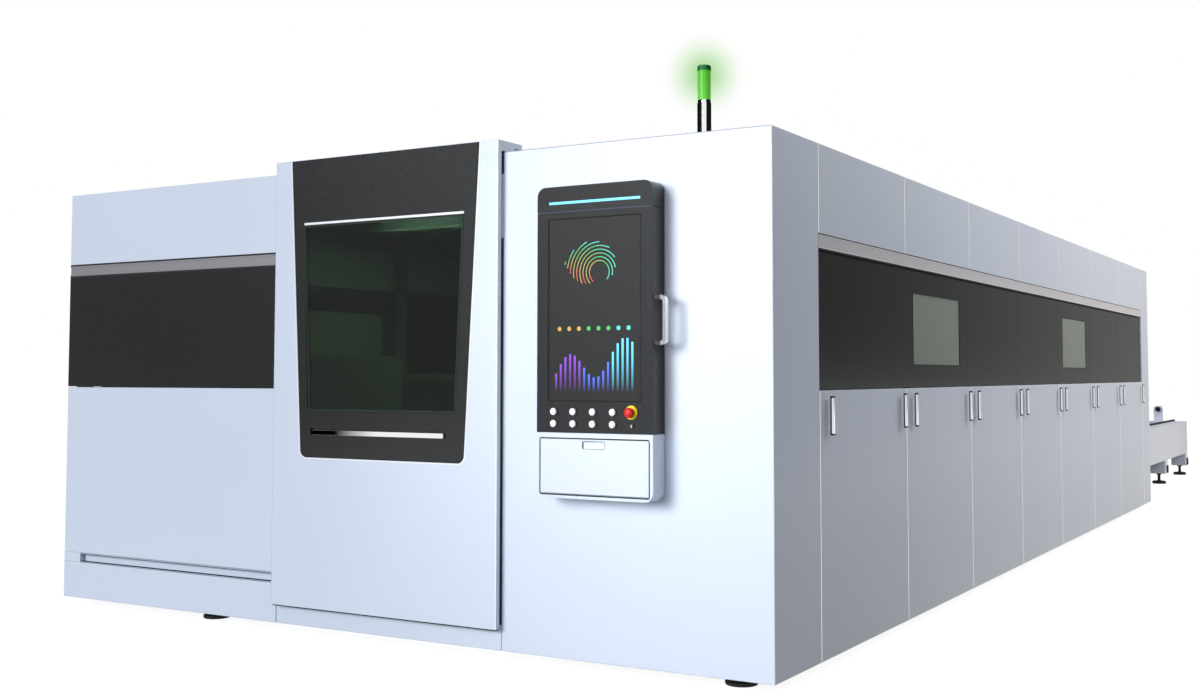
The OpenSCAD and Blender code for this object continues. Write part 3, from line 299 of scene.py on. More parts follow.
@dataclass(frozen=True)
class BrushedMetal(Finish):
    """Metal brushed or drawn along its length: fine level lines that stretch the highlights."""

    roughness: float
    spread: float = 0.1
    # Real brushing lines are finer than a pixel here, so they are drawn coarser
    line_mm: float = 1.5
    along: Place = (0.01, 0.01, 1.0)
    relief: Span = (0.02, 0.3)

    def surface(self, skin: Skin) -> None:
        """Adds the brushing lines to roughness and relief.

        Args:
            skin: Nodes of the material.
        """
        skin.shader.inputs["Metallic"].default_value = 1.0
        stretched = add(skin.tree, "ShaderNodeMapping", {"Scale": self.along}, {"Vector": skin.place})
        skin.place = stretched.outputs["Vector"]
        rough = (self.roughness - self.spread, self.roughness + self.spread)
        skin.grain(self.line_mm, rough, self.relief)


@dataclass(frozen=True)
class Polished(Finish):
    """Bright chromium plate or polished stainless steel: a mirror with faint finger haze."""

    roughness: float
    haze_mm: float = 30.0
    haze: Span = (0.6, 1.6)

    def surface(self, skin: Skin) -> None:
        """Adds the haze to the mirror's roughness.

        Args:
            skin: Nodes of the material.
        """
        skin.shader.inputs["Metallic"].default_value = 1.0
        rough = (self.roughness * self.haze[0], self.roughness * self.haze[1])
        skin.grain(self.haze_mm, rough, detail=4.0)


@dataclass(frozen=True)
class RolledSteel(Finish):
    """Hot-rolled or heat-marked steel: blotchy scale with rubbed, brighter and smoother patches."""

    bright: str
    roughness: float
    metallic: float
    dull: float = 0.15
    rubbed: float = 0.1
    blotch_mm: float = 60.0
    relief: Span = (0.1, 0.3)

    def surface(self, skin: Skin) -> None:
        """Adds the blotches to colour, roughness and relief.

        Args:
            skin: Nodes of the material.
        """
        skin.shader.inputs["Metallic"].default_value = self.metallic
        rough = (self.roughness + self.dull, self.roughness - self.rubbed)
        level = skin.grain(self.blotch_mm, rough, self.relief, detail=6.0, gain=0.65)
        tone = add(
            skin.tree, "ShaderNodeMix", {6: linear(self.colour), 7: linear(self.bright)}, {0: level},
            data_type="RGBA",
        )
        skin.feed("Base Color", tone.outputs[2])


@dataclass(frozen=True)
class Moulded(Finish):
    """Moulded plastic or rubber, and the lighter side trim whose brightness is painted: an even skin with a
    fine, dull grain.
    """

    roughness: float
    spread: float = 0.06
    # The real grain of some tenths of a millimetre is finer than a pixel here, so it is drawn coarser
    grain_mm: float = 1.6
    grain_relief: Span = (0.03, 0.35)

    def surface(self, skin: Skin) -> None:
        """Adds the grain to roughness and relief.

        Args:
            skin: Nodes of the material.
        """
        rough = (self.roughness - self.spread, self.roughness + self.spread)
        skin.grain(self.grain_mm, rough, self.grain_relief)


@dataclass(frozen=True)
class Glazing(Finish):
    """Dyed acrylic or polycarbonate that stops the laser's light: clear, deep in tone, very smooth."""

    transmission: float
    roughness: float
    ior: float = 1.49
    film_mm: float = 150.0
    film: Span = (0.5, 1.8)

    def surface(self, skin: Skin) -> None:
        """Adds the see-through and a faint film of dust.

        Args:
            skin: Nodes of the material.
        """
        skin.shader.inputs["Transmission Weight"].default_value = self.transmission
        skin.shader.inputs["IOR"].default_value = self.ior
        skin.grain(self.film_mm, (self.roughness * self.film[0], self.roughness * self.film[1]))


@dataclass(frozen=True)
class LitLens(Finish):
    """Translucent polycarbonate over light-emitting diodes, brighter in front of each diode."""

    dim: str
    strength: float
    pitch_mm: float
    row: Row
    roughness: float = 0.25

    def surface(self, skin: Skin) -> None:
        """Adds the light of the diodes behind the lens.

        Args:
            skin: Nodes of the material.
        """
        skin.shader.inputs["Roughness"].default_value = self.roughness
        skin.shader.inputs["Emission Strength"].default_value = self.strength
        # The wave texture repeats every 2 pi / (20 x scale)
        wave = add(
            skin.tree, "ShaderNodeTexWave", {"Scale": 2 * math.pi / (20 * self.pitch_mm * MM)},
            {"Vector": skin.place}, bands_direction=self.row.value,
        )
        tone = add(
            skin.tree, "ShaderNodeMix", {6: linear(self.dim), 7: linear(self.colour)},
            {0: wave.outputs["Fac"]}, data_type="RGBA",
        )
        skin.feed("Emission Color", tone.outputs[2])


@dataclass(frozen=True)
class Pixels(Finish):
    """Light of a liquid crystal panel, coloured by the drawing's own vertex colours."""

    strength: float = 1.0
    roughness: float = 0.2

    def surface(self, skin: Skin) -> None:
        """Takes the light's colour from the mesh.

        Args:
            skin: Nodes of the material.
        """
        ink = add(skin.tree, "ShaderNodeVertexColor", layer_name="ink")
        skin.feed("Emission Color", ink.outputs["Color"])
        skin.feed("Base Color", ink.outputs["Color"])
        skin.shader.inputs["Emission Strength"].default_value = self.strength
        skin.shader.inputs["Roughness"].default_value = self.roughness


# Coated sheet: cool white housing, glossier near-black bands, duller grey frames
WHITE = PowderCoat("powder_coat_white", "DDE6F3", "D8E1EF")
DARK = PowderCoat("powder_coat_charcoal", "161718", "141516", 0.2, wave_relief=(0.15, 0.5))
GREY = PowderCoat("powder_coat_machine_grey", "8E949C", "82888F", 0.55)
# Bare metals, from dull trim to mirror
TRIM = BrushedMetal("anodised_aluminium_trim", "78777A", 0.55)
ALLOY = BrushedMetal("milled_aluminium", "A6A8AC", 0.4)
GROUND = BrushedMetal("ground_steel", "9A9CA0", 0.28)
# Lighter trim for the sides: its brightness is a painted reflection of the bright studio in the trim's metal
SIDE_TRIM_SHEEN = Moulded("side_trim_painted_sheen", "D0D0D2", 0.55)
CHROME = Polished("chromium_plate", "F2F3F5", 0.08)
MIRROR = Polished("mirror_stainless", "F2F3F5", 0.02)
SLAT = RolledSteel("cut_slat_steel", "4A4844", "8A8782", 0.5, 0.9)
BLACK_OXIDE = RolledSteel("black_oxide_steel", "0A0A0A", "181818", 0.6, 0.2)
# Rubber and plastics: dull seals, satin caps and keys; the black, grey and white ones also make strips of
# painted shade and painted highlight
RUBBER_AND_SHADE = Moulded("rubber_and_painted_shade_black", "070708", 0.85)
LIP_AND_SHADE = Moulded("pvc_lip_and_painted_shade_grey", "98A1B0", 0.6)
# Dark grey that is painted shade in the gap where the door closes
GAP_SHADE = Moulded("gap_painted_shade_grey", "3A3B3E", 0.85)
BLACK_ABS = Moulded("moulded_abs_black", "111112", 0.35)
WHITE_ABS = Moulded("moulded_abs_white", "DAE2EC", 0.4)
BRIGHT_ABS_AND_HIGHLIGHT = Moulded("bright_white_abs_and_painted_highlight", "FAFBFC", 0.4)
KEY_ABS_AND_SHADE = Moulded("grey_abs_and_painted_shade", "35363A", 0.55)
RED_ABS = Moulded("moulded_red_button", "DC0C08", 0.42)
YELLOW_ABS = Moulded("moulded_yellow_collar", "F6DC10", 0.35)
# Dark seam line under the console's cap, blue as a painted glow of the lit strip
GLOW_TINTED_LINE = Moulded("seam_line_painted_blue_glow", "123152", 0.5)
# Panes and lights: green-dyed panes, a dull dark screen and glowing lenses
PANE_EDGE = Moulded("acrylic_pane_edge", "12331C", 0.2)
DOOR_GLASS = Glazing("laser_safety_acrylic", "465E46", 1.0, 0.03)
SIDE_GLASS = Glazing("laser_safety_polycarbonate", "A9B4A8", 0.3, 0.12)
SCREEN_GLASS = Moulded("anti_glare_screen", "222322", 0.16, grain_relief=(0.002, 0.35))
GREEN_CAP = Moulded("moulded_green_cap", "0C7A42", 0.2, grain_relief=(0.002, 0.35))
GREEN_LENS = LitLens("lit_green_lens", "58A838", "54A434", 0.7, 24.0, Row.UPRIGHT)
CYAN_STRIP = LitLens("lit_cyan_strip", "52C8E8", "48BEE0", 0.9, 20.0, Row.ACROSS)
PIXELS = Pixels("screen_pixels", "FFFFFF")


def rounded_edges(mesh: bpy.types.Mesh, radius_mm: float) -> None:
    """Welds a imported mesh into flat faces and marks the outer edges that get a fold's radius.

    Args:
        mesh: Mesh to change, a copy of a node's own.
        radius_mm: Radius that the marked edges will get.
    """
    work = bmesh.new()
    work.from_mesh(mesh)
    bmesh.ops.remove_doubles(work, verts=work.verts, dist=WELD_M)
    bmesh.ops.dissolve_limit(
        work, angle_limit=math.radians(FLAT_DEG), verts=work.verts, edges=work.edges, delimit={"NORMAL"}
    )
    weights = work.edges.layers.float.new("bevel_weight_edge")
    room = FOLD_ROOM * radius_mm * MM
    for edge in work.edges:
        if len(edge.link_faces) != 2 or not edge.is_convex:
            continue
        if edge.calc_face_angle(0.0) < math.radians(FOLD_DEG):
            continue
        widths = [f.calc_area() / max(e.calc_length() for e in f.edges) for f in edge.link_faces]
        if min(widths) >= room and edge.calc_length() > room:
            edge[weights] = 1.0
    work.to_mesh(mesh)
    work.free()


def drafted(name: str, work: bmesh.types.BMesh) -> bpy.types.Mesh:
    """Turns a draft into a mesh.

    Args:
        name: Name of the mesh.
        work: The draft, which is used up.

    Returns:
        The mesh.
    """
    made = bpy.data.meshes.new(name)
    work.to_mesh(made)
    work.free()
    return made


def slab(work: bmesh.types.BMesh, x: Span, y: Span, z: Span) -> None:
    """Adds a box.

    Args:
        work: Mesh that gets the box.
        x: Its two ends across in millimetres, in either order.
        y: Its two ends along.
        z: Its two ends upwards.
    """
    low, high = at(min(x), min(y), min(z)), at(max(x), max(y), max(z))
    for vert in bmesh.ops.create_cube(work, size=1.0)["verts"]:
        vert.co = Vector(a * b for a, b in zip(vert.co, high - low)) + (low + high) / 2


def prism(work: bmesh.types.BMesh, outline: list[Point], z: Span) -> None:
    """Adds an upright bar with an even cross-section.

    Args:
        work: Mesh that gets the bar.
        outline: x and y of the section's corners, in millimetres.
        z: Its lower and upper end.
    """
    low, high = ([work.verts.new(at(x, y, end)) for x, y in outline] for end in z)
    work.faces.new(low)
    work.faces.new(high)
    for i in range(len(outline)):
        work.faces.new((low[i - 1], low[i], high[i], high[i - 1]))


def lathe(work: bmesh.types.BMesh, outline: list[Point], centre: Vector, axis: Axis) -> None:
    """Adds a turned solid.

    Args:
        work: Mesh that gets the solid.
        outline: Radius and height of each point in millimetres, with a radius of 0 on the axis.
        centre: Place of the base's middle.
        axis: Direction in which the heights grow.
    """
    turn = Vector(Axis.UP.value).rotation_difference(Vector(axis.value)).to_matrix().to_4x4()
    spot = Matrix.Translation(centre) @ turn
    angles = [2 * math.pi * i / TURN_STEPS for i in range(TURN_STEPS)]
    rings = []
    for radius, height in outline:
        round_about = [(math.cos(a), math.sin(a)) for a in angles] if radius else [(0.0, 0.0)]
        rings.append([
            work.verts.new(spot @ (Vector((radius * x, radius * y, height)) * MM)) for x, y in round_about
        ])
    for low, high in zip(rings, rings[1:]):
        for i in range(TURN_STEPS):
            j = (i + 1) % TURN_STEPS
            if len(low) == 1:
                work.faces.new((low[0], high[j], high[i]))
            elif len(high) == 1:
                work.faces.new((low[i], low[j], high[0]))
            else:
                work.faces.new((low[i], low[j], high[j], high[i]))


def upright_frame(work: bmesh.types.BMesh, outer: list[Point], inner: list[Point], y: Span) -> None:
    """Adds a flat frame that stands in X and Z between two outlines with as many points.

    Args:
        work: Mesh that gets the frame.
        outer: Outer outline, x and z in millimetres.
        inner: Inner outline, point by point beside the outer one.
        y: Front and back of the frame.
    """
    front, back = y
    rings = [
        [work.verts.new(at(x, depth, z)) for x, z in outline]
        for outline, depth in ((outer, front), (inner, front), (inner, back), (outer, back))
    ]
    for a, b in zip(rings, rings[1:] + rings[:1]):
        for i in range(len(outer)):
            work.faces.new((a[i - 1], a[i], b[i], b[i - 1]))


def skewed(mid: float, half: Span, z: Span) -> list[Point]:
    """Returns an upright trapezium's corners as x and z, from the lower left one by the lower right."""
    (low, high), (z0, z1) = half, z
    return [(mid - low, z0), (mid + low, z0), (mid + high, z1), (mid - high, z1)]


def rounded(corners: list[Point], radii: list[float]) -> list[Point]:
    """Rounds the corners of an outline.

    Args:
        corners: Outline with straight sides.
        radii: Radius at each corner, or 0 to keep it sharp.

    Returns:
        The outline with as many points at each corner.
    """
    made = []
    for i, (corner, radius) in enumerate(zip(corners, radii)):
        tip = Vector(corner)
        back = (Vector(corners[i - 1]) - tip).normalized()
        ahead = (Vector(corners[(i + 1) % len(corners)]) - tip).normalized()
        reach = radius / math.tan(back.angle(ahead) / 2)
        for k in range(CORNER_STEPS + 1):
            s = k / CORNER_STEPS
            # A quadratic curve is close enough to the arc at these radii
            point = tip + back * reach * (1 - s) ** 2 + ahead * reach * s**2
            made.append((point.x, point.y))
    return made


def rectangle(box: Panel, grow: float, radius: float) -> list[Point]:
    """Draws a rectangle's outline, grown on all sides, with rounded corners.

    Args:
        box: Lowest and highest x, lowest and highest z.
        grow: Distance that each side moves outwards.
        radius: Radius of the corners.

    Returns:
        The outline as x and z.
    """
    x0, x1, z0, z1 = box
    half = (x1 - x0) / 2 + grow
    corners = skewed((x0 + x1) / 2, (half, half), (z0 - grow, z1 + grow))
    return rounded(corners, [radius] * len(corners))


@dataclass
class Frame:
    """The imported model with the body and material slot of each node."""

    nodes: dict[str, bpy.types.Object]
    body_of: dict[str, str]
    slot_of: dict[str, str]

    @classmethod
    def load(cls) -> "Frame":
        """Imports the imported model.

        Returns:
            The frame, with nothing moved or hidden.
        """
        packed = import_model()
        record = packed["record"]
        bodies = record["behaviour"]["bodies"]
        return cls(
            packed["nodes"],
            {node: body for body, members in bodies.items() for node in members},
            {row["node"]: row["material_slot"] for row in record["subparts"]},
        )

    def paint(self, finish: Finish, *names: str) -> None:
        """Gives CAD nodes that show as they are their finish.

        Args:
            finish: Finish of the nodes.
            *names: Names of the nodes.
        """
        for name in names:
            slots = self.nodes[name].data.materials
            slots.clear()
            slots.append(finish.material())
            LOG.info("painted %s", name)

    def show(self, name: str, mesh: bpy.types.Mesh, finish: Finish) -> bpy.types.Object:
        """Puts a mesh into the scene as a piece with smooth rounds and sharp edges.

        Args:
            name: Name of the piece.
            mesh: Its mesh.
            finish: Its finish.

        Returns:
            The new piece.
        """
        mesh.materials.clear()
        mesh.materials.append(finish.material())
        mesh.polygons.foreach_set("use_smooth", [True] * len(mesh.polygons))
        mesh.set_sharp_from_angle(angle=math.radians(SHARP_DEG))
        piece = bpy.data.objects.new(name, mesh)
        bpy.context.scene.collection.objects.link(piece)
        return piece

    def dress(self, finish: Finish, *names: str, radius_mm: float) -> None:
        """Shows copies of CAD nodes whose outer edges are rounded as folds and castings are.

        Args:
            finish: Finish of the copies.
            *names: Names of the nodes.
            radius_mm: Radius of their outer edges.
        """
        for name in names:
            mesh = self.nodes[name].data.copy()
            rounded_edges(mesh, radius_mm)
            piece = self.show(f"{name}_piece", mesh, finish)
            bevel = piece.modifiers.new("edge_radius", "BEVEL")
            bevel.width = radius_mm * MM
            bevel.segments = FOLD_STEPS
            bevel.limit_method = "WEIGHT"
            bevel.use_clamp_overlap = True
            # Large flat faces keep their own direction, and only the radii turn the light
            flat = piece.modifiers.new("flat_faces", "WEIGHTED_NORMAL")
            flat.keep_sharp = True
            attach(piece, self.body_of[name])
            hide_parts(name)
            LOG.info("dressed %s", name)

    def attach(
        self, name: str, finish: Finish, body: str, slot: str, work: bmesh.types.BMesh, bevel_mm: float = 0.0
    ) -> None:
        """Makes a new small piece that rides on a body.

        Args:
            name: Name of the piece.
            finish: Its finish.
            body: Body that carries it.
            slot: Material slot of the record; not used.
            work: Its mesh, which is used up.
            bevel_mm: Radius of its edges, or 0 for none.
        """
        bmesh.ops.recalc_face_normals(work, faces=work.faces)
        piece = self.show(name, drafted(name, work), finish)
        if bevel_mm:
            bevel = piece.modifiers.new("edge_radius", "BEVEL")
            bevel.width = bevel_mm * MM
            bevel.segments = BEAD_STEPS
            bevel.angle_limit = math.radians(BEAD_DEG)
            bevel.harden_normals = True
        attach(piece, body)
        LOG.info("attached %s to %s", name, body)

    def blocks(
        self, name: str, finish: Finish, body: str, slot: str, boxes: list[Box], bevel_mm: float = 0.0
    ) -> None:
        """Attaches a piece that is made of boxes.

        Args:
            name: Name of the piece.
            finish: Its finish.
            body: Body that carries it.
            slot: Material slot of the record, handed on to attach.
            boxes: Spans of each box in x, y and z.
            bevel_mm: Radius of its edges, or 0 for none.
        """
        work = bmesh.new()
        for box in boxes:
            slab(work, *box)
        self.attach(name, finish, body, slot, work, bevel_mm)

    def border(
        self, name: str, finish: Finish, body: str, slot: str, outlines: tuple[list[Point], list[Point]],
        y: Span, bevel_mm: float = 0.0,
    ) -> None:
        """Attaches a flat upright frame.

        Args:
            name: Name of the piece.
            finish: Its finish.
            body: Body that carries it.
            slot: Material slot of the record, handed on to attach.
            outlines: Its outer and inner outline.
            y: Its front and back.
            bevel_mm: Radius of its edges, or 0 for none.
        """
        work = bmesh.new()
        upright_frame(work, *outlines, y)
        self.attach(name, finish, body, slot, work, bevel_mm)


@dataclass
class Enclosure:
    """Folded panels, bands, trim, windows and handles of the housing.

    Depths are measured inwards from a side's face, so a negative one stands out.
    """

    frame: Frame
    fold_mm: float = 3.0
    half_w: float = 2020.0
    first_bay_y: float = 457.0
    bay_pitch: float = 1086.143
    bays: int = 7
    trim_y: Span = (460.0, 8056.0)
    trim_z: Span = (1708.5, 1769.5)
    # Depths of the lighter cover over the side trim, whose brightness is a painted reflection
    sheen_depth: Span = (3.8, 1.0)
    # Widths of the black strips at the trim's upper and lower edges, painted shade of the gaps there
    seal_w: Span = (7.0, 5.0)
    trim_shade_depth: Span = (2.0, -0.5)
    front_shade_x: Span = (-2018.0, -509.0)
    front_shade_y: Span = (-0.5, 2.0)
    front_shade_more: float = 1.5
    # Width of the white strips just inside the trim's edges, which are painted highlights
    highlight_w: float = 3.0
    slot_x: Span = (-1888.0, -512.0)
    slot_y: Span = (3.0, 12.0)
    # Heights of the black strips at the slot's lower and upper edges, painted shade of the slot
    slot_shade_z: tuple[Span, Span] = ((227.5, 233.5), (265.5, 268.5))
    roof_lip: Box = ((782.0, 2016.0), (-0.4, 3.0), (2139.4, 2142.6))
    grip_edge: float = 82.0
    grip_x: Span = (2041.0, 2052.0)
    grip_half: float = 11.0
    grip_ridge: float = 5.0
    grip_z: Span = (947.0, 1108.0)
    grip_tip: float = 7.0
    plate_t: float = 4.0
    plate_half: float = 13.0
    window_bays: tuple[int, int] = (1, 4)
    window_half: float = 390.0
    window_z: Span = (1242.0, 1594.0)
    gasket_w: float = 4.0
    gasket_depth: Span = (17.0, 13.2)
    strip_half: float = 0.9
    strip_depth: Span = (17.0, 13.6)
    strip_z: Span = (1134.0, 1704.0)
    joint_start: float = 1.5
    joint_w: float = 4.0
    joint_depth: Span = (0.5, -0.9)
    joint_z: tuple[Span, Span] = ((46.0, 1126.0), (1774.0, 2138.0))

    def build(self) -> None:
        """Dresses the housing's nodes and adds its trim, with strips of painted shade, painted highlight and
        painted reflection.
        """
        self.frame.dress(
            WHITE, "front_panels", "front_plinths", "side_columns", "upper_panels", "access_panels",
            "roof_panels", "rear_wall", radius_mm=self.fold_mm,
        )
        self.frame.dress(DARK, "band_panels", radius_mm=2.0)
        self.frame.dress(TRIM, "trim_strips", radius_mm=1.0)
        self.frame.dress(CHROME, "access_handles", radius_mm=2.0)
        self.frame.dress(SIDE_GLASS, "side_windows", radius_mm=1.0)
        self.frame.dress(RUBBER_AND_SHADE, "levelling_feet", radius_mm=1.0)
        self.frame.dress(ALLOY, "rear_shutter", "duct_collar", radius_mm=1.0)
        self.frame.paint(GREY, "enclosure_frame", "power_cabinets")
        self.frame.dress(WHITE, "door_guide_track", radius_mm=1.0)
        self.trim_shade_strips()
        self.lips()
        self.grips()
        self.gaskets()
        self.seam_strips()
        self.joint_beads()

    def face(self, side: int, depth: Span) -> Span:
        """Returns the span in x between two depths under a side's face."""
        return side * (self.half_w - depth[0]), side * (self.half_w - depth[1])

    def bay_y(self, bay: float) -> float:
        """Returns where a bay starts, or a place within it for a fraction."""
        return self.first_bay_y + bay * self.bay_pitch

    def trim_shade_strips(self) -> None:
        """Adds black strips beside the aluminium trim as painted shade of the gaps at its edges, white strips
        within them as painted highlights of its rounded edges, and a lighter cover over the trim on both
        sides whose brightness is a painted reflection.
        """
        # Black strips are painted shade in the gaps beside the trim; white strips are painted highlights on
        # its edges
        seals, highlight_boxes = [], []
        more = self.front_shade_more
        for z, w, inward in zip(self.trim_z, self.seal_w, (1, -1)):
            low, high, edge = z - w / 2, z + w / 2, z + inward * w / 2
            seals.append((self.front_shade_x, self.front_shade_y, (low - more, high + more)))
            for side in SIDES:
                x = self.face(side, self.trim_shade_depth)
                seals.append((x, self.trim_y, (low, high)))
                highlight_boxes.append((x, self.trim_y, (edge, edge + inward * self.highlight_w)))
        sheen_boxes = [(self.face(side, self.sheen_depth), self.trim_y, self.trim_z) for side in SIDES]
        self.frame.blocks("trim_shade_strips", RUBBER_AND_SHADE, "machine", "black_rubber", seals)
        self.frame.blocks("trim_highlight_strips", BRIGHT_ABS_AND_HIGHLIGHT, "machine", "white_plastic", highlight_boxes)
        self.frame.blocks("side_trim_cover_sheen", SIDE_TRIM_SHEEN, "machine", "alloy", sheen_boxes)

    def lips(self) -> None:
        """Adds black strips along the guide slot's edges as painted shade of the slot, and the grey lip on
        the right panel's upper edge.
        """
        slot_shade_boxes = [(self.slot_x, self.slot_y, z) for z in self.slot_shade_z]
        self.frame.blocks("slot_edge_shade", RUBBER_AND_SHADE, "machine", "black_rubber", slot_shade_boxes, bevel_mm=1.0)
        self.frame.blocks("roof_lip", LIP_AND_SHADE, "machine", "white_plastic", [self.roof_lip])

    def grips(self) -> None:
        """Adds the ridged shells over the panel handles' bars, with their black end tips and back plates."""
        shells, tips = bmesh.new(), bmesh.new()
        x0, x1 = self.grip_x
        z0, z1 = self.grip_z
        half, tip = self.grip_half, self.grip_tip
        for side in SIDES:
            under, back, shoulder, ridge = (
                side * x for x in (x0 - self.plate_t, x0, x1 - self.grip_ridge, x1)
            )
            for bay in range(self.bays):
                for edge in (self.grip_edge, self.bay_pitch - self.grip_edge):
                    y = self.bay_y(bay) + edge
                    section = [
                        (back, y - half), (shoulder, y - half), (ridge, y), (shoulder, y + half),
                        (back, y + half),
                    ]
                    prism(shells, section, (z0 + tip, z1 - tip))
                    for z in (z0, z1 - tip):
                        slab(tips, (back, ridge), (y - half, y + half), (z, z + tip))
                    slab(tips, (under, back), (y - self.plate_half, y + self.plate_half), self.grip_z)
        self.frame.attach("handle_shells", CHROME, "machine", "bright_metal", shells, bevel_mm=2.0)
        self.frame.attach("handle_tips", BLACK_ABS, "machine", "black_plastic", tips, bevel_mm=1.5)

    def gaskets(self) -> None:
        """Adds the dark gaskets round the side windows."""
        boxes = []
        w = self.gasket_w
        z0, z1 = self.window_z
        for side in SIDES:
            x = self.face(side, self.gasket_depth)
            for bay in self.window_bays:
                middle = self.bay_y(bay + 0.5)
                y0, y1 = middle - self.window_half, middle + self.window_half
                boxes += [(x, y, self.window_z) for y in ((y0, y0 + w), (y1 - w, y1))]
                boxes += [(x, (y0 + w, y1 - w), z) for z in ((z0, z0 + w), (z1 - w, z1))]
        self.frame.blocks("window_gaskets", RUBBER_AND_SHADE, "machine", "black_rubber", boxes)

    def seam_strips(self) -> None:
        """Adds the dark joint strips between the band's sheets."""
        boxes = [
            (self.face(side, self.strip_depth), (y - self.strip_half, y + self.strip_half), self.strip_z)
            for side in SIDES
            for y in map(self.bay_y, range(1, self.bays))
        ]
        self.frame.blocks("seam_strips", KEY_ABS_AND_SHADE, "machine", "black_plastic", boxes)

    def joint_beads(self) -> None:
        """Adds the fine polished beads along the joints of the side's white panels."""
        work = bmesh.new()
        for side in SIDES:
            base, ridge = self.face(side, self.joint_depth)
            for bay in range(self.bays + 1):
                y = self.bay_y(bay) + self.joint_start
                section = [(base, y), (ridge, y + self.joint_w / 2), (base, y + self.joint_w)]
                for z in self.joint_z:
                    prism(work, section, z)
        self.frame.attach("joint_beads", CHROME, "machine", "bright_metal", work)


@dataclass
class TowerLight:
    """Green signal light on the roof."""

    frame: Frame
    middle: Point = (1682.0, 100.0)
    cap_z: float = 2407.0
    cap_r: float = 27.4
    cap_h: float = 20.4
    cap_chamfer: float = 3.0
    cap_sink: float = 0.2

    def build(self) -> None:
        """Dresses the base and the lit lens and adds the unlit cap."""
        self.frame.dress(MIRROR, "tower_base", radius_mm=1.0)
        self.frame.dress(GREEN_LENS, "tower_lens", radius_mm=0.5)
        work = bmesh.new()
        r, h, cut, low = self.cap_r, self.cap_h, self.cap_chamfer, -self.cap_sink
        outline = [(0, low), (r, low), (r, h - cut), (r - cut, h), (0, h)]
        lathe(work, outline, at(*self.middle, self.cap_z), Axis.UP)
        self.frame.attach("lens_cap", GREEN_CAP, "machine", "green_lens", work)


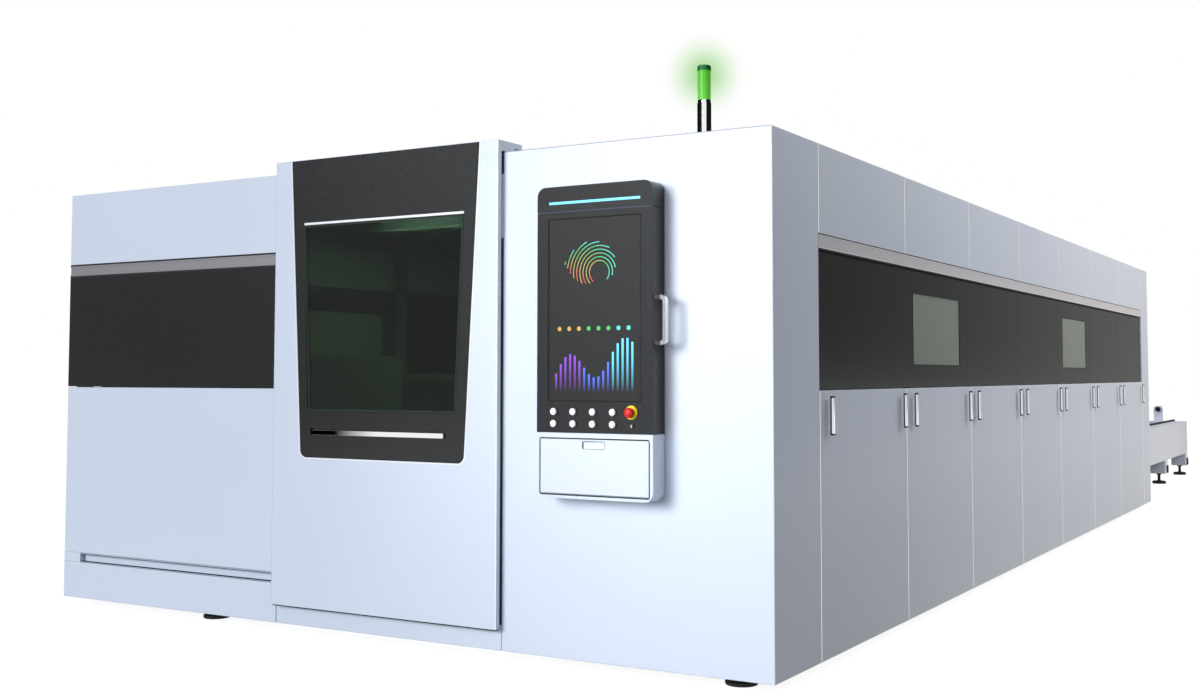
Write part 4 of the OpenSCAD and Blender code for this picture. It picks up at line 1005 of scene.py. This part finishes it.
@dataclass
class SlidingDoor:
    """Leaf, dark fascia, safety window and handle of the front door."""

    frame: Frame
    fold_mm: float = 4.0
    mid_x: float = 135.0
    fascia_half: Span = (466.0, 540.0)
    fascia_z: Span = (817.0, 2189.0)
    fascia_r: float = 36.0
    # Depth of the black line in the fascia's edge, its painted shadow
    fascia_shadow_y: Span = (-35.9, -34.5)
    # Size and depth of the white ring round the fascia, a painted highlight of the leaf's edge
    highlight_grow: Span = (7.0, 1.0)
    highlight_y: Span = (-37.8, -36.0)
    window_half: Span = (421.0, 460.0)
    window_z: Span = (1028.0, 1897.0)
    strip_h: float = 11.0
    strip_gap: float = 0.5
    strip_y: Span = (-37.0, -31.5)
    seal_w: float = 5.0
    window_seal_y: Span = (-35.9, -32.5)
    pane_edge_y: Span = (-35.0, -33.2)
    handle_plate: Box = ((-260.0, 489.0), (-36.8, -36.1), (921.0, 942.0))
    # Black strip under the leaf's lower edge, its painted shadow
    leaf_foot_shadow: Box = ((-500.0, 770.0), (-32.0, -16.0), (128.0, 134.2))
    # White strip on the leaf's right edge, a painted highlight
    leaf_highlight: Box = ((768.0, 774.4), (-37.5, -33.0), (138.0, 2188.0))
    # Grey line at the leaf's left edge, painted shade of the gap beside it
    leaf_gap_shade: Box = ((-507.5, -503.8), (-34.0, -28.0), (138.0, 2188.0))
    jamb_x: Span = (760.5, 776.5)
    jamb_y: Span = (0.5, 40.0)
    # Heights of the dark strips in the gap where the leaf closes, painted shade of the gap
    gap_shade_z: tuple[Span, Span] = ((150.0, 1775.0), (2050.0, 2130.0))
    striker_z: Span = (1776.0, 2049.0)

    def build(self) -> None:
        """Dresses the door's nodes and adds its fine trim, with strips of painted shade and painted
        highlight.
        """
        self.frame.dress(WHITE, "door_leaf", radius_mm=self.fold_mm)
        self.frame.dress(DARK, "door_fascia", radius_mm=1.5)
        self.frame.dress(DOOR_GLASS, "door_window", radius_mm=0.5)
        self.frame.dress(CHROME, "door_handle", radius_mm=1.0)
        self.frame.dress(GROUND, "door_rail", "door_runners", radius_mm=1.0)
        self.bright_trim()
        self.seals()
        self.edge_shade_and_highlights()

    def outline(self, grow: float) -> list[Point]:
        """Draws the fascia's outline.

        Args:
            grow: Distance that its sides and lower edge move outwards.

        Returns:
            The outline as x and z, with rounded lower corners.
        """
        half = (self.fascia_half[0] + grow, self.fascia_half[1] + grow)
        radius = self.fascia_r + grow
        corners = skewed(self.mid_x, half, (self.fascia_z[0] - grow, self.fascia_z[1]))
        return rounded(corners, [radius, radius, 0.0, 0.0])

    def pane(self, inset: float) -> list[Point]:
        """Draws an outline within the window, below its clamping strip.

        Args:
            inset: Distance from the window's edges.

        Returns:
            The corners as x and z.
        """
        half = (self.window_half[0] - inset, self.window_half[1] - inset)
        top = self.window_z[1] - self.strip_h - max(inset, self.strip_gap)
        return skewed(self.mid_x, half, (self.window_z[0] + inset, top))

    def bright_trim(self) -> None:
        """Adds the white clamping strip along the window's upper edge and the handle's polished plate."""
        half, top = self.window_half[1], self.window_z[1]
        strip = ((self.mid_x - half, self.mid_x + half), self.strip_y, (top - self.strip_h, top))
        self.frame.blocks("window_top_strip", BRIGHT_ABS_AND_HIGHLIGHT, "door", "white_plastic", [strip], bevel_mm=1.0)
        self.frame.blocks("handle_plate", MIRROR, "door", "bright_metal", [self.handle_plate], bevel_mm=0.3)

    def seals(self) -> None:
        """Adds the black line in the fascia's edge as its painted shadow, the white ring round it as a
        painted highlight of the leaf's edge, the pane's seal and its green edge.
        """
        w = self.seal_w
        shadow = (self.outline(0), self.outline(-w))
        highlight_outlines = (self.outline(self.highlight_grow[0]), self.outline(self.highlight_grow[1]))
        around, rim = (self.pane(0), self.pane(w)), (self.pane(w), self.pane(2 * w))
        border = self.frame.border
        border("fascia_shadow_line", RUBBER_AND_SHADE, "door", "black_rubber", shadow, self.fascia_shadow_y)
        border("fascia_highlight_ring", BRIGHT_ABS_AND_HIGHLIGHT, "door", "white_plastic", highlight_outlines, self.highlight_y, bevel_mm=0.5)
        border("window_seal", RUBBER_AND_SHADE, "door", "black_rubber", around, self.window_seal_y)
        border("pane_edge", PANE_EDGE, "door", "safety_glass", rim, self.pane_edge_y)

    def edge_shade_and_highlights(self) -> None:
        """Adds a black strip under the leaf as its painted shadow, a white strip on its right edge as a
        painted highlight, a grey line at its left edge as painted shade of the gap there, and dark strips and
        the striker in the gap where it closes, the dark strips being painted shade of that gap.
        """
        gap_shade_boxes = [(self.jamb_x, self.jamb_y, z) for z in self.gap_shade_z]
        striker = (self.jamb_x, self.jamb_y, self.striker_z)
        self.frame.blocks("leaf_foot_shadow", RUBBER_AND_SHADE, "door", "black_rubber", [self.leaf_foot_shadow], bevel_mm=1.0)
        self.frame.blocks(
            "leaf_edge_highlight", BRIGHT_ABS_AND_HIGHLIGHT, "door", "white_plastic", [self.leaf_highlight], bevel_mm=1.5
        )
        self.frame.blocks("leaf_gap_shade", LIP_AND_SHADE, "door", "white_plastic", [self.leaf_gap_shade])
        self.frame.blocks("jamb_gap_shade", GAP_SHADE, "machine", "black_rubber", gap_shade_boxes, bevel_mm=1.0)
        self.frame.blocks("jamb_striker", BRIGHT_ABS_AND_HIGHLIGHT, "machine", "white_plastic", [striker], bevel_mm=1.0)


@dataclass
class Picture:
    """Flat drawing on the screen: open ring gauges above a row of dots and a bar graph.

    A pair of numbers for the rings holds the first ring's value and the step from ring to ring.
    """

    box: Panel
    face_y: float
    warm: tuple[str, ...] = ("B02632", "A8862C", "2F9A48", "38B8A8")
    cool: tuple[str, ...] = ("7A34B8", "4060E0", "48C8EC")
    unlit: str = "181420"
    ring_middle: Point = (0.56, 0.70)
    rings: int = 9
    ring_r: Span = (46.0, 15.0)
    ring_start_deg: Span = (235.0, -9.0)
    ring_end_deg: Span = (-40.0, 26.0)
    ring_w: float = 3.2
    arc_steps: int = 48
    dots: int = 8
    dot_start: Point = (52.0, 288.0)
    dot_pitch: float = 46.0
    dot_r: float = 4.5
    bars: int = 17
    bar_margin: float = 36.0
    bar_foot: float = 38.0
    bar_w: float = 9.0
    bar_h: float = 70.0
    bar_swing: float = 62.0
    bar_beat: float = 0.55
    bar_climb: float = 5.5
    work: bmesh.types.BMesh = field(default_factory=bmesh.new)

    def strip(self, points: list[Point], width: float, inks: tuple[str, ...]) -> None:
        """Draws a line of even width whose colour runs through the inks.

        Args:
            points: x and z along the line, in millimetres.
            width: Its width in millimetres.
            inks: Two or more colours from its start to its end.
        """
        colours = self.work.verts.layers.float_color
        layer = colours.get("ink") or colours.new("ink")
        rows = []
        last = len(points) - 1
        for i, point in enumerate(points):
            ahead = Vector(points[min(i + 1, last)]) - Vector(points[max(i - 1, 0)])
            across = Vector((-ahead.y, ahead.x)).normalized() * width / 2
            step = i / last * (len(inks) - 1)
            k = min(int(step), len(inks) - 2)
            colour = Vector(linear(inks[k])).lerp(Vector(linear(inks[k + 1])), step - k)
            row = []
            for side in SIDES:
                spot = Vector(point) + across * side
                vert = self.work.verts.new(at(spot.x, self.face_y, spot.y))
                vert[layer] = colour
                row.append(vert)
            rows.append(row)
        for a, b in zip(rows, rows[1:]):
            self.work.faces.new((a[0], a[1], b[1], b[0]))

    def arc(self, middle: Point, radius: float, span_deg: Span, width: float, inks: tuple[str, ...]) -> None:
        """Draws an arc.

        Args:
            middle: x and z of its centre, in millimetres.
            radius: Its radius in millimetres.
            span_deg: Angles of its start and end, from +X towards +Z.
            width: Width of the line.
            inks: Colours from its start to its end.
        """
        start, end = span_deg
        points = []
        for i in range(self.arc_steps + 1):
            angle = math.radians(start + (end - start) * i / self.arc_steps)
            points.append((middle[0] + radius * math.cos(angle), middle[1] + radius * math.sin(angle)))
        self.strip(points, width, inks)

    def draw(self) -> None:
        """Draws the rings, the dots and the bars."""
        x0, x1, z0, z1 = self.box
        middle = (x0 + self.ring_middle[0] * (x1 - x0), z0 + self.ring_middle[1] * (z1 - z0))
        for n in range(self.rings):
            radius, start, end = (
                first + step * n for first, step in (self.ring_r, self.ring_start_deg, self.ring_end_deg)
            )
            self.arc(middle, radius, (start, end), self.ring_w, self.warm[n % 2 :])
        for n in range(self.dots):
            ink = self.warm[1 + n * 3 // self.dots]
            spot = (x0 + self.dot_start[0] + self.dot_pitch * n, z0 + self.dot_start[1])
            self.arc(spot, self.dot_r, (0.0, 360.0), 2 * self.dot_r, (ink, ink))
        pitch = (x1 - x0 - 2 * self.bar_margin) / (self.bars - 1)
        foot = z0 + self.bar_foot
        for n in range(self.bars):
            x = x0 + self.bar_margin + n * pitch
            height = self.bar_h + self.bar_swing * math.sin(self.bar_beat * n) + self.bar_climb * n
            ink = self.cool[n * len(self.cool) // self.bars]
            self.strip([(x, foot), (x, foot + height)], self.bar_w, (self.unlit, ink))


@dataclass
class Console:
    """Swing-out operator console with its screen, switches and keyboard case."""

    frame: Frame
    face_y: float = -99.0
    columns: tuple[float, ...] = (1102.0, 1194.0, 1286.0, 1378.0)
    rows: tuple[float, ...] = (1047.0, 999.0)
    bezel_r: Span = (14.8, 18.5)
    bezel_h: float = 1.6
    bezel_chamfer: float = 0.8
    key_mark: Box = ((1462.6, 1465.4), (-105.3, -102.2), (988.0, 1000.0))
    screen: Panel = (1073.5, 1500.5, 1091.0, 1822.0)
    picture_y: float = -97.4
    flap: Panel = (1035.0, 1539.0, 717.0, 939.0)
    pull: Panel = (1235.5, 1338.5, 901.0, 929.0)
    seal_w: float = 4.0
    # Width of the grey ring in the finger pull's edge, painted shade of its hollow
    pull_shade_w: float = 2.0
    seal_y: Span = (-99.3, -98.0)
    # Span of the dark seam line under the cap, whose blue is a painted glow
    cap_glow_x: Span = (1020.0, 1554.0)
    cap_glow_z: Span = (1851.2, 1854.8)
    sleeve_x: Span = (1557.2, 1585.2)
    sleeve_y: Span = (-93.0, -69.0)
    sleeve_half: float = 9.0
    leg_z: Span = (1318.0, 1496.0)

    def build(self) -> None:
        """Dresses the console's nodes and adds its seals, a ring of painted shade, a line of painted glow,
        bezels and the screen's picture.
        """
        self.frame.dress(DARK, "console_housing", "console_cap", radius_mm=3.0)
        self.frame.dress(WHITE_ABS, "keyboard_case", radius_mm=3.0)
        self.frame.dress(WHITE_ABS, "keyboard_flap", radius_mm=1.0)
        self.frame.dress(KEY_ABS_AND_SHADE, "keyboard", radius_mm=1.0)
        self.frame.dress(SCREEN_GLASS, "screen", radius_mm=0.5)
        self.frame.dress(CYAN_STRIP, "light_strip", radius_mm=0.5)
        self.frame.dress(CHROME, "console_handle", radius_mm=2.0)
        self.frame.dress(BLACK_ABS, "key_switch", radius_mm=0.8)
        self.frame.dress(RED_ABS, "estop_button", radius_mm=0.8)
        self.frame.dress(YELLOW_ABS, "estop_collar", radius_mm=0.8)
        self.frame.dress(BRIGHT_ABS_AND_HIGHLIGHT, *[f"push_button_{n}" for n in range(1, 9)], radius_mm=0.8)
        self.frame.dress(GROUND, "console_hinges", radius_mm=0.8)
        self.bezels()
        self.seals()
        self.sleeves()
        drawing = Picture(self.screen, self.picture_y)
        drawing.draw()
        self.frame.attach("screen_picture", PIXELS, "console", "screen_glass", drawing.work)

    def bezels(self) -> None:
        """Adds the dark rings round the push-buttons and the white mark on the key switch."""
        work = bmesh.new()
        (hole, r), h, cut = self.bezel_r, self.bezel_h, self.bezel_chamfer
        ring = [(hole, 0.0), (r, 0.0), (r, h - cut), (r - cut, h), (hole, h), (hole, 0.0)]
        for x in self.columns:
            for z in self.rows:
                lathe(work, ring, at(x, self.face_y, z), Axis.FRONT)
        self.frame.attach("button_bezels", BLACK_ABS, "console", "black_plastic", work)
        self.frame.blocks("key_mark", BRIGHT_ABS_AND_HIGHLIGHT, "key", "white_plastic", [self.key_mark])

    def seals(self) -> None:
        """Adds the black seals round the screen and the flap, a grey ring in the finger pull's edge as
        painted shade of its hollow, and the dark line under the cap, whose blue is a painted glow of the lit
        strip.
        """
        for name, finish, body, slot, box, w, outer_r, inner_r in (
            ("screen_seal", RUBBER_AND_SHADE, "console", "black_rubber", self.screen, self.seal_w, 4.0, 1.0),
            ("flap_seal", RUBBER_AND_SHADE, "console", "black_rubber", self.flap, self.seal_w, 10.0, 2.0),
            ("pull_shade_ring", KEY_ABS_AND_SHADE, "flap", "key_plastic", self.pull, self.pull_shade_w, 8.0, 2.0),
        ):
            outlines = (rectangle(box, w, outer_r), rectangle(box, 0.0, inner_r))
            self.frame.border(name, finish, body, slot, outlines, self.seal_y)
        line = (self.cap_glow_x, self.seal_y, self.cap_glow_z)
        self.frame.blocks("cap_seam_glow", GLOW_TINTED_LINE, "console", "black_plastic", [line])

    def sleeves(self) -> None:
        """Adds the black sleeves on the side handle's legs."""
        boxes = [
            (self.sleeve_x, self.sleeve_y, (z - self.sleeve_half, z + self.sleeve_half)) for z in self.leg_z
        ]
        self.frame.blocks("handle_sleeves", BLACK_ABS, "console", "black_plastic", boxes, bevel_mm=1.5)


@dataclass
class InnerWorks:
    """Bed, gantry, cutting head and trays behind the panels."""

    frame: Frame

    def build(self) -> None:
        """Dresses the works that show through the doorway and the port."""
        self.frame.paint(GREY, "machine_bed")
        self.frame.paint(GROUND, "gantry_tracks")
        self.frame.dress(GREY, "gantry_beam", radius_mm=2.0)
        self.frame.dress(ALLOY, "carriage", "cutting_head", radius_mm=1.5)
        self.frame.paint(SLAT, "scrap_trays")


@dataclass
class ExchangeTable:
    """Table frame, rails and the two slatted pallets."""

    frame: Frame
    leg_rows: tuple[float, ...] = (9631.0, 11169.0, 12707.0)
    # Black plates over the legs' bolt pockets, painted shade of the pockets
    pocket_shade_x: Span = (1752.3, 1762.0)
    pocket_shade_y: Span = (-8.0, 83.0)
    pocket_shade_z: Span = (118.0, 200.0)

    def build(self) -> None:
        """Dresses the table and its pallets and adds black plates over the legs' bolt pockets, painted shade
        of the pockets.
        """
        self.frame.dress(WHITE, "table_frame", radius_mm=3.0)
        self.frame.dress(BLACK_OXIDE, "pallet_rails", radius_mm=1.0)
        self.frame.dress(RUBBER_AND_SHADE, "stop_buffers", radius_mm=1.0)
        self.frame.paint(SLAT, "upper_pallet", "lower_pallet")
        axles = [f"{level}_{end}_axle" for level in ("upper", "lower") for end in ("front", "rear")]
        self.frame.dress(GROUND, *axles, radius_mm=1.0)
        (x0, x1), (y0, y1) = self.pocket_shade_x, self.pocket_shade_y
        boxes = [
            ((side * x0, side * x1), (row + y0, row + y1), self.pocket_shade_z)
            for row in self.leg_rows
            for side in SIDES
        ]
        self.frame.blocks("leg_pocket_shade", RUBBER_AND_SHADE, "machine", "black_rubber", boxes, bevel_mm=2.0)


def stand(
    name: str, work: bmesh.types.BMesh, material: bpy.types.Material, *unseen: Ray
) -> bpy.types.Object:
    """Puts a mesh into the studio, apart from the part.

    Args:
        name: Name of the object.
        work: Its mesh, which is used up.
        material: Its material.
        *unseen: Rays that pass it by.

    Returns:
        The new object.
    """
    mesh = drafted(name, work)
    mesh.materials.append(material)
    made = bpy.data.objects.new(name, mesh)
    bpy.context.scene.collection.objects.link(made)
    for ray in unseen:
        setattr(made, ray.value, False)
    return made


def seen_by(tree: bpy.types.NodeTree, *kinds: str) -> bpy.types.NodeSocket:
    """Adds the nodes that tell some kinds of ray from all others.

    Args:
        tree: Node tree that gets the nodes.
        *kinds: Names of the light path's outputs.

    Returns:
        A socket with 1 for these rays and 0 for others.
    """
    path = add(tree, "ShaderNodeLightPath")
    level = path.outputs[kinds[0]]
    for kind in kinds[1:]:
        either = add(tree, "ShaderNodeMath", links={0: level, 1: path.outputs[kind]}, operation="MAXIMUM")
        level = either.outputs[0]
    return level


@dataclass(frozen=True)
class Card:
    """Grey studio card that only mirrors and glossy paint see, or that only takes light from matt surfaces.

    The levels are its brightness at its two ends, where 1 is white, and the ramp says where along its width,
    from 0 to 1, the brightness changes.
    """

    name: str
    place: Place
    target: Place
    size: Span
    levels: Span
    ramp: Span = (0.0, 1.0)
    matt: bool = False

    def build(self) -> None:
        """Adds the card upright, turned towards its target."""
        work = bmesh.new()
        bmesh.ops.create_grid(work, x_segments=1, y_segments=1, size=0.5)
        material = bare_material(f"{self.name}_card")
        tree = material.node_tree
        spot = add(tree, "ShaderNodeTexCoord").outputs["Generated"]
        along = add(tree, "ShaderNodeSeparateXYZ", links={0: spot}).outputs["X"]
        names = ("From Min", "From Max", "To Min", "To Max")
        fade = add(
            tree, "ShaderNodeMapRange", dict(zip(names, (*self.ramp, *self.levels))), {"Value": along}
        )
        light = add(
            tree, "ShaderNodeEmission", {"Color": linear("FFFFFF")}, {"Strength": fade.outputs["Result"]}
        )
        add(tree, "ShaderNodeOutputMaterial", links={"Surface": light.outputs[0]})
        passing = Ray.GLOSSY if self.matt else Ray.DIFFUSE
        made = stand(self.name, work, material, Ray.CAMERA, passing, Ray.TRANSMISSION, Ray.SHADOW)
        made.location = self.place
        facing = Vector(self.target) - Vector(self.place)
        facing.z = 0
        made.rotation_euler = facing.to_track_quat("Z", "Y").to_euler()
        made.scale = (*self.size, 1.0)


@dataclass(frozen=True)
class Lamp:
    """Lamp that looks at a point, in watts, or in watts per square metre for a sun.

    The size is an area lamp's side in metres or a sun's angle in degrees.
    """

    name: str
    kind: LampKind
    energy: float
    place: Place
    target: Place
    size: float
    code: str = "FFFFFF"
    spread_deg: float = 180.0

    def build(self) -> None:
        """Adds the lamp."""
        data = bpy.data.lights.new(self.name, self.kind.value)
        data.energy = self.energy
        data.color = linear(self.code)[:3]
        if self.kind is LampKind.AREA:
            data.size = self.size
            data.spread = math.radians(self.spread_deg)
        else:
            data.angle = math.radians(self.size)
        made = bpy.data.objects.new(self.name, data)
        made.location = self.place
        facing = Vector(self.target) - Vector(self.place)
        made.rotation_euler = facing.to_track_quat("-Z", "Y").to_euler()
        made.visible_camera = False
        # An area lamp would show as a white square in the screen and the glass
        made.visible_glossy = self.kind is not LampKind.AREA
        bpy.context.scene.collection.objects.link(made)


# Name, place, target, width and height, brightness at both ends, and where it changes
CARDS = (
    # Grey in the dark faces of the front
    Card("front_flag", (-9.0, -15.0, 4.0), (0.0, -6.3, 1.2), (24.0, 9.0), (0.31, 0.31)),
    # Grey in the side's dark band, deeper at one end
    Card("side_flag", (14.0, 30.0, 4.0), (2.0, -3.0, 1.2), (40.0, 9.0), (0.3, 0.1), (0.3, 0.54)),
    # Black end in the door's polished handle
    Card("handle_flag", (-5.4, -13.0, 0.55), (-5.4, -6.3, 0.55), (2.4, 0.3), (1.0, 0.0), (0.58, 0.82)),
    # Shade on the side's lower part
    Card("low_flag", (2.92, -2.6, 0.375), (2.0, -2.6, 0.375), (9.6, 0.75), (0.0, 0.0), matt=True),
)
# Name, kind, energy, place, target, size, colour and width of the beam
LAMPS = (
    # Key from the front left, and fills on the front's right part
    Lamp("key", LampKind.SUN, 2.14, (-4.2, -16.3, 4.2), (0.0, -6.3, 1.2), 30.0, "F6F9FF"),
    Lamp("front_fill", LampKind.AREA, 10.0, (0.3, -9.6, 2.2), (2.0, -6.3, 1.6), 1.6, spread_deg=70.0),
    Lamp("near_fill", LampKind.AREA, 2.0, (1.7, -9.6, 1.5), (1.75, -6.3, 1.3), 1.0, spread_deg=60.0),
    # Fills along the right side, from its near end to the table
    Lamp("high_fill", LampKind.AREA, 10.0, (3.6, -4.6, 3.7), (2.0, -4.9, 2.0), 3.5, "FFFAF4", 120.0),
    Lamp("middle_fill", LampKind.AREA, 13.0, (3.6, -2.2, 3.7), (2.0, -2.2, 1.6), 3.5, spread_deg=120.0),
    Lamp("side_fill", LampKind.AREA, 140.0, (5.8, 1.2, 4.0), (2.0, 0.6, 1.8), 3.5, "FFF5EC"),
    Lamp("table_fill", LampKind.AREA, 50.0, (5.2, 5.6, 1.6), (1.8, 5.4, 0.5), 2.0, "FFECD8"),
    # Work light within the chamber, down on the bed and up on the ceiling
    Lamp("chamber_light", LampKind.AREA, 26.0, (0.2, -4.2, 2.0), (0.2, -4.2, 0.0), 1.2, "F4FFF4"),
    Lamp("roof_light", LampKind.AREA, 30.0, (-0.55, -4.7, 1.8), (-0.55, -4.7, 2.2), 1.2, "F0FFEC", 50.0),
)


@dataclass
class Studio:
    """Floor, world, cards, lamps and the camera at the photograph's place."""

    lens_mm: float = 40.305
    sensor_mm: float = 36.0
    shift: Point = (-0.02185, -0.03956)
    place: Place = (4.0842, -10.9767, 1.1943)
    turn_deg: Place = (93.0805, 0.0, 30.1955)
    clip: Span = (0.1, 200.0)
    ambient: str = "989CA3"
    floor_m: float = 120.0
    floor_colour: str = "909295"
    floor_glow: float = 0.92
    # Middle and half width of the ground under the housing
    indoors: tuple[tuple[str, float, float], ...] = (("X", 0.0, 1.9), ("Y", -1.95, 4.0))
    tower: Point = (1.682, -6.2295)
    tower_card_r: float = 0.085
    tower_card_z: Span = (2.15, 2.6)
    tower_card_deg: Span = (-35.0, 256.0)
    tower_card_steps: int = 32
    tower_card_level: float = 0.008
    # Painted glow round the lit signal lamp: height, radius, tint and density of a sphere that tints what
    # lies behind it green
    glow_z: float = 2.39
    glow_r: float = 0.19
    glow_tint: str = "7CD700"
    glow_density: float = 9.0

    def build(self) -> None:
        """Sets up everything round the object."""
        self.camera()
        self.world()
        self.floor()
        for card in CARDS:
            card.build()
        self.tower_card()
        self.haze()
        for lamp in LAMPS:
            lamp.build()
        bpy.context.scene.view_settings.view_transform = "Standard"

    def camera(self) -> None:
        """Puts the camera where the photograph was taken from."""
        data = bpy.data.cameras.new("camera")
        data.sensor_width = self.sensor_mm
        data.lens = self.lens_mm
        data.shift_x, data.shift_y = self.shift
        data.clip_start, data.clip_end = self.clip
        made = bpy.data.objects.new("camera", data)
        made.location = self.place
        made.rotation_euler = [math.radians(a) for a in self.turn_deg]
        bpy.context.scene.collection.objects.link(made)
        bpy.context.scene.camera = made

    def world(self) -> None:
        """Lights the object with an even sky that looks white to the camera and in mirrors and glass."""
        made = bpy.data.worlds.new("studio")
        made.use_nodes = True
        tree = made.node_tree
        tree.nodes.clear()
        seen = seen_by(tree, "Is Camera Ray", "Is Glossy Ray", "Is Transmission Ray")
        sky, white = (
            add(tree, "ShaderNodeBackground", {"Color": linear(code), "Strength": 1.0})
            for code in (self.ambient, "FFFFFF")
        )
        both = add(tree, "ShaderNodeMixShader", links={0: seen, 1: sky.outputs[0], 2: white.outputs[0]})
        add(tree, "ShaderNodeOutputWorld", links={"Surface": both.outputs[0]})
        bpy.context.scene.world = made

    def floor(self) -> None:
        """Adds the pale floor, which reads as white away from the object's shadow."""
        work = bmesh.new()
        bmesh.ops.create_grid(work, x_segments=1, y_segments=1, size=self.floor_m / 2)
        material = bare_material("studio_floor")
        tree = material.node_tree
        # Rays through glass are left out, since the panes look into the closed housing
        seen = seen_by(tree, "Is Camera Ray", "Is Glossy Ray")
        # No studio light reaches the floor inside the housing, so it isn't lifted to white there
        spot = add(
            tree, "ShaderNodeSeparateXYZ", links={0: add(tree, "ShaderNodeTexCoord").outputs["Object"]}
        )
        across, along = (
            add(tree, "ShaderNodeMath", {1: middle, 2: half}, {0: spot.outputs[axis]}, operation="COMPARE")
            for axis, middle, half in self.indoors
        )
        under = add(
            tree, "ShaderNodeMath", links={0: across.outputs[0], 1: along.outputs[0]}, operation="MULTIPLY"
        )
        level = add(
            tree, "ShaderNodeMapRange", {"To Min": self.floor_glow, "To Max": 0.0},
            {"Value": under.outputs[0]},
        )
        glow = add(
            tree, "ShaderNodeMath", links={0: seen, 1: level.outputs["Result"]}, operation="MULTIPLY"
        )
        paper = add(tree, "ShaderNodeBsdfDiffuse", {"Color": linear(self.floor_colour)})
        light = add(
            tree, "ShaderNodeEmission", {"Color": linear("FFFFFF")}, {"Strength": glow.outputs[0]}
        )
        both = add(tree, "ShaderNodeAddShader", links={0: paper.outputs[0], 1: light.outputs[0]})
        add(tree, "ShaderNodeOutputMaterial", links={"Surface": both.outputs[0]})
        stand("floor", work, material)

    def tower_card(self) -> None:
        """Adds a round black card that only mirrors see, open to the front, which rims the light's tube."""
        work = bmesh.new()
        start, end = self.tower_card_deg
        rows = []
        for i in range(self.tower_card_steps + 1):
            angle = math.radians(start + (end - start) * i / self.tower_card_steps)
            x = self.tower[0] + self.tower_card_r * math.cos(angle)
            y = self.tower[1] + self.tower_card_r * math.sin(angle)
            rows.append([work.verts.new((x, y, z)) for z in self.tower_card_z])
        for a, b in zip(rows, rows[1:]):
            work.faces.new((a[0], b[0], b[1], a[1]))
        material = bare_material("tower_flag_card")
        tree = material.node_tree
        light = add(
            tree, "ShaderNodeEmission", {"Color": linear("FFFFFF"), "Strength": self.tower_card_level}
        )
        add(tree, "ShaderNodeOutputMaterial", links={"Surface": light.outputs[0]})
        stand("tower_flag", work, material, Ray.CAMERA, Ray.DIFFUSE, Ray.TRANSMISSION, Ray.SHADOW)

    def haze(self) -> None:
        """Adds a sphere of green-tinting air round the lit signal lamp, a painted glow of the lamp."""
        work = bmesh.new()
        bmesh.ops.create_icosphere(work, subdivisions=4, radius=1.0)
        material = bare_material("lamp_painted_glow")
        tree = material.node_tree
        place = add(tree, "ShaderNodeTexCoord").outputs["Object"]
        # 1 at the centre and 0 at the sphere's surface
        fall = add(tree, "ShaderNodeTexGradient", links={"Vector": place}, gradient_type="QUADRATIC_SPHERE")
        dense = add(
            tree, "ShaderNodeMapRange", {"To Min": 0.0, "To Max": self.glow_density},
            {"Value": fall.outputs["Fac"]},
        )
        glow_tint_volume = add(
            tree, "ShaderNodeVolumeAbsorption", {"Color": linear(self.glow_tint)},
            {"Density": dense.outputs["Result"]},
        )
        add(tree, "ShaderNodeOutputMaterial", links={"Volume": glow_tint_volume.outputs[0]})
        unseen = (Ray.DIFFUSE, Ray.GLOSSY, Ray.TRANSMISSION, Ray.SHADOW)
        made = stand("lamp_glow", work, material, *unseen)
        made.location = (*self.tower, self.glow_z)
        made.scale = (self.glow_r,) * 3


def main() -> None:
    """Builds the machine's looks and the studio."""
    logging.basicConfig(level=logging.INFO, format="%(name)s: %(message)s")
    frame = Frame.load()
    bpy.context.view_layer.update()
    for part in (
        Enclosure(frame), TowerLight(frame), SlidingDoor(frame), Console(frame), InnerWorks(frame),
        ExchangeTable(frame), Studio(),
    ):
        part.build()
        LOG.info("built %s", type(part).__name__)


if __name__ == "__main__":
    main()
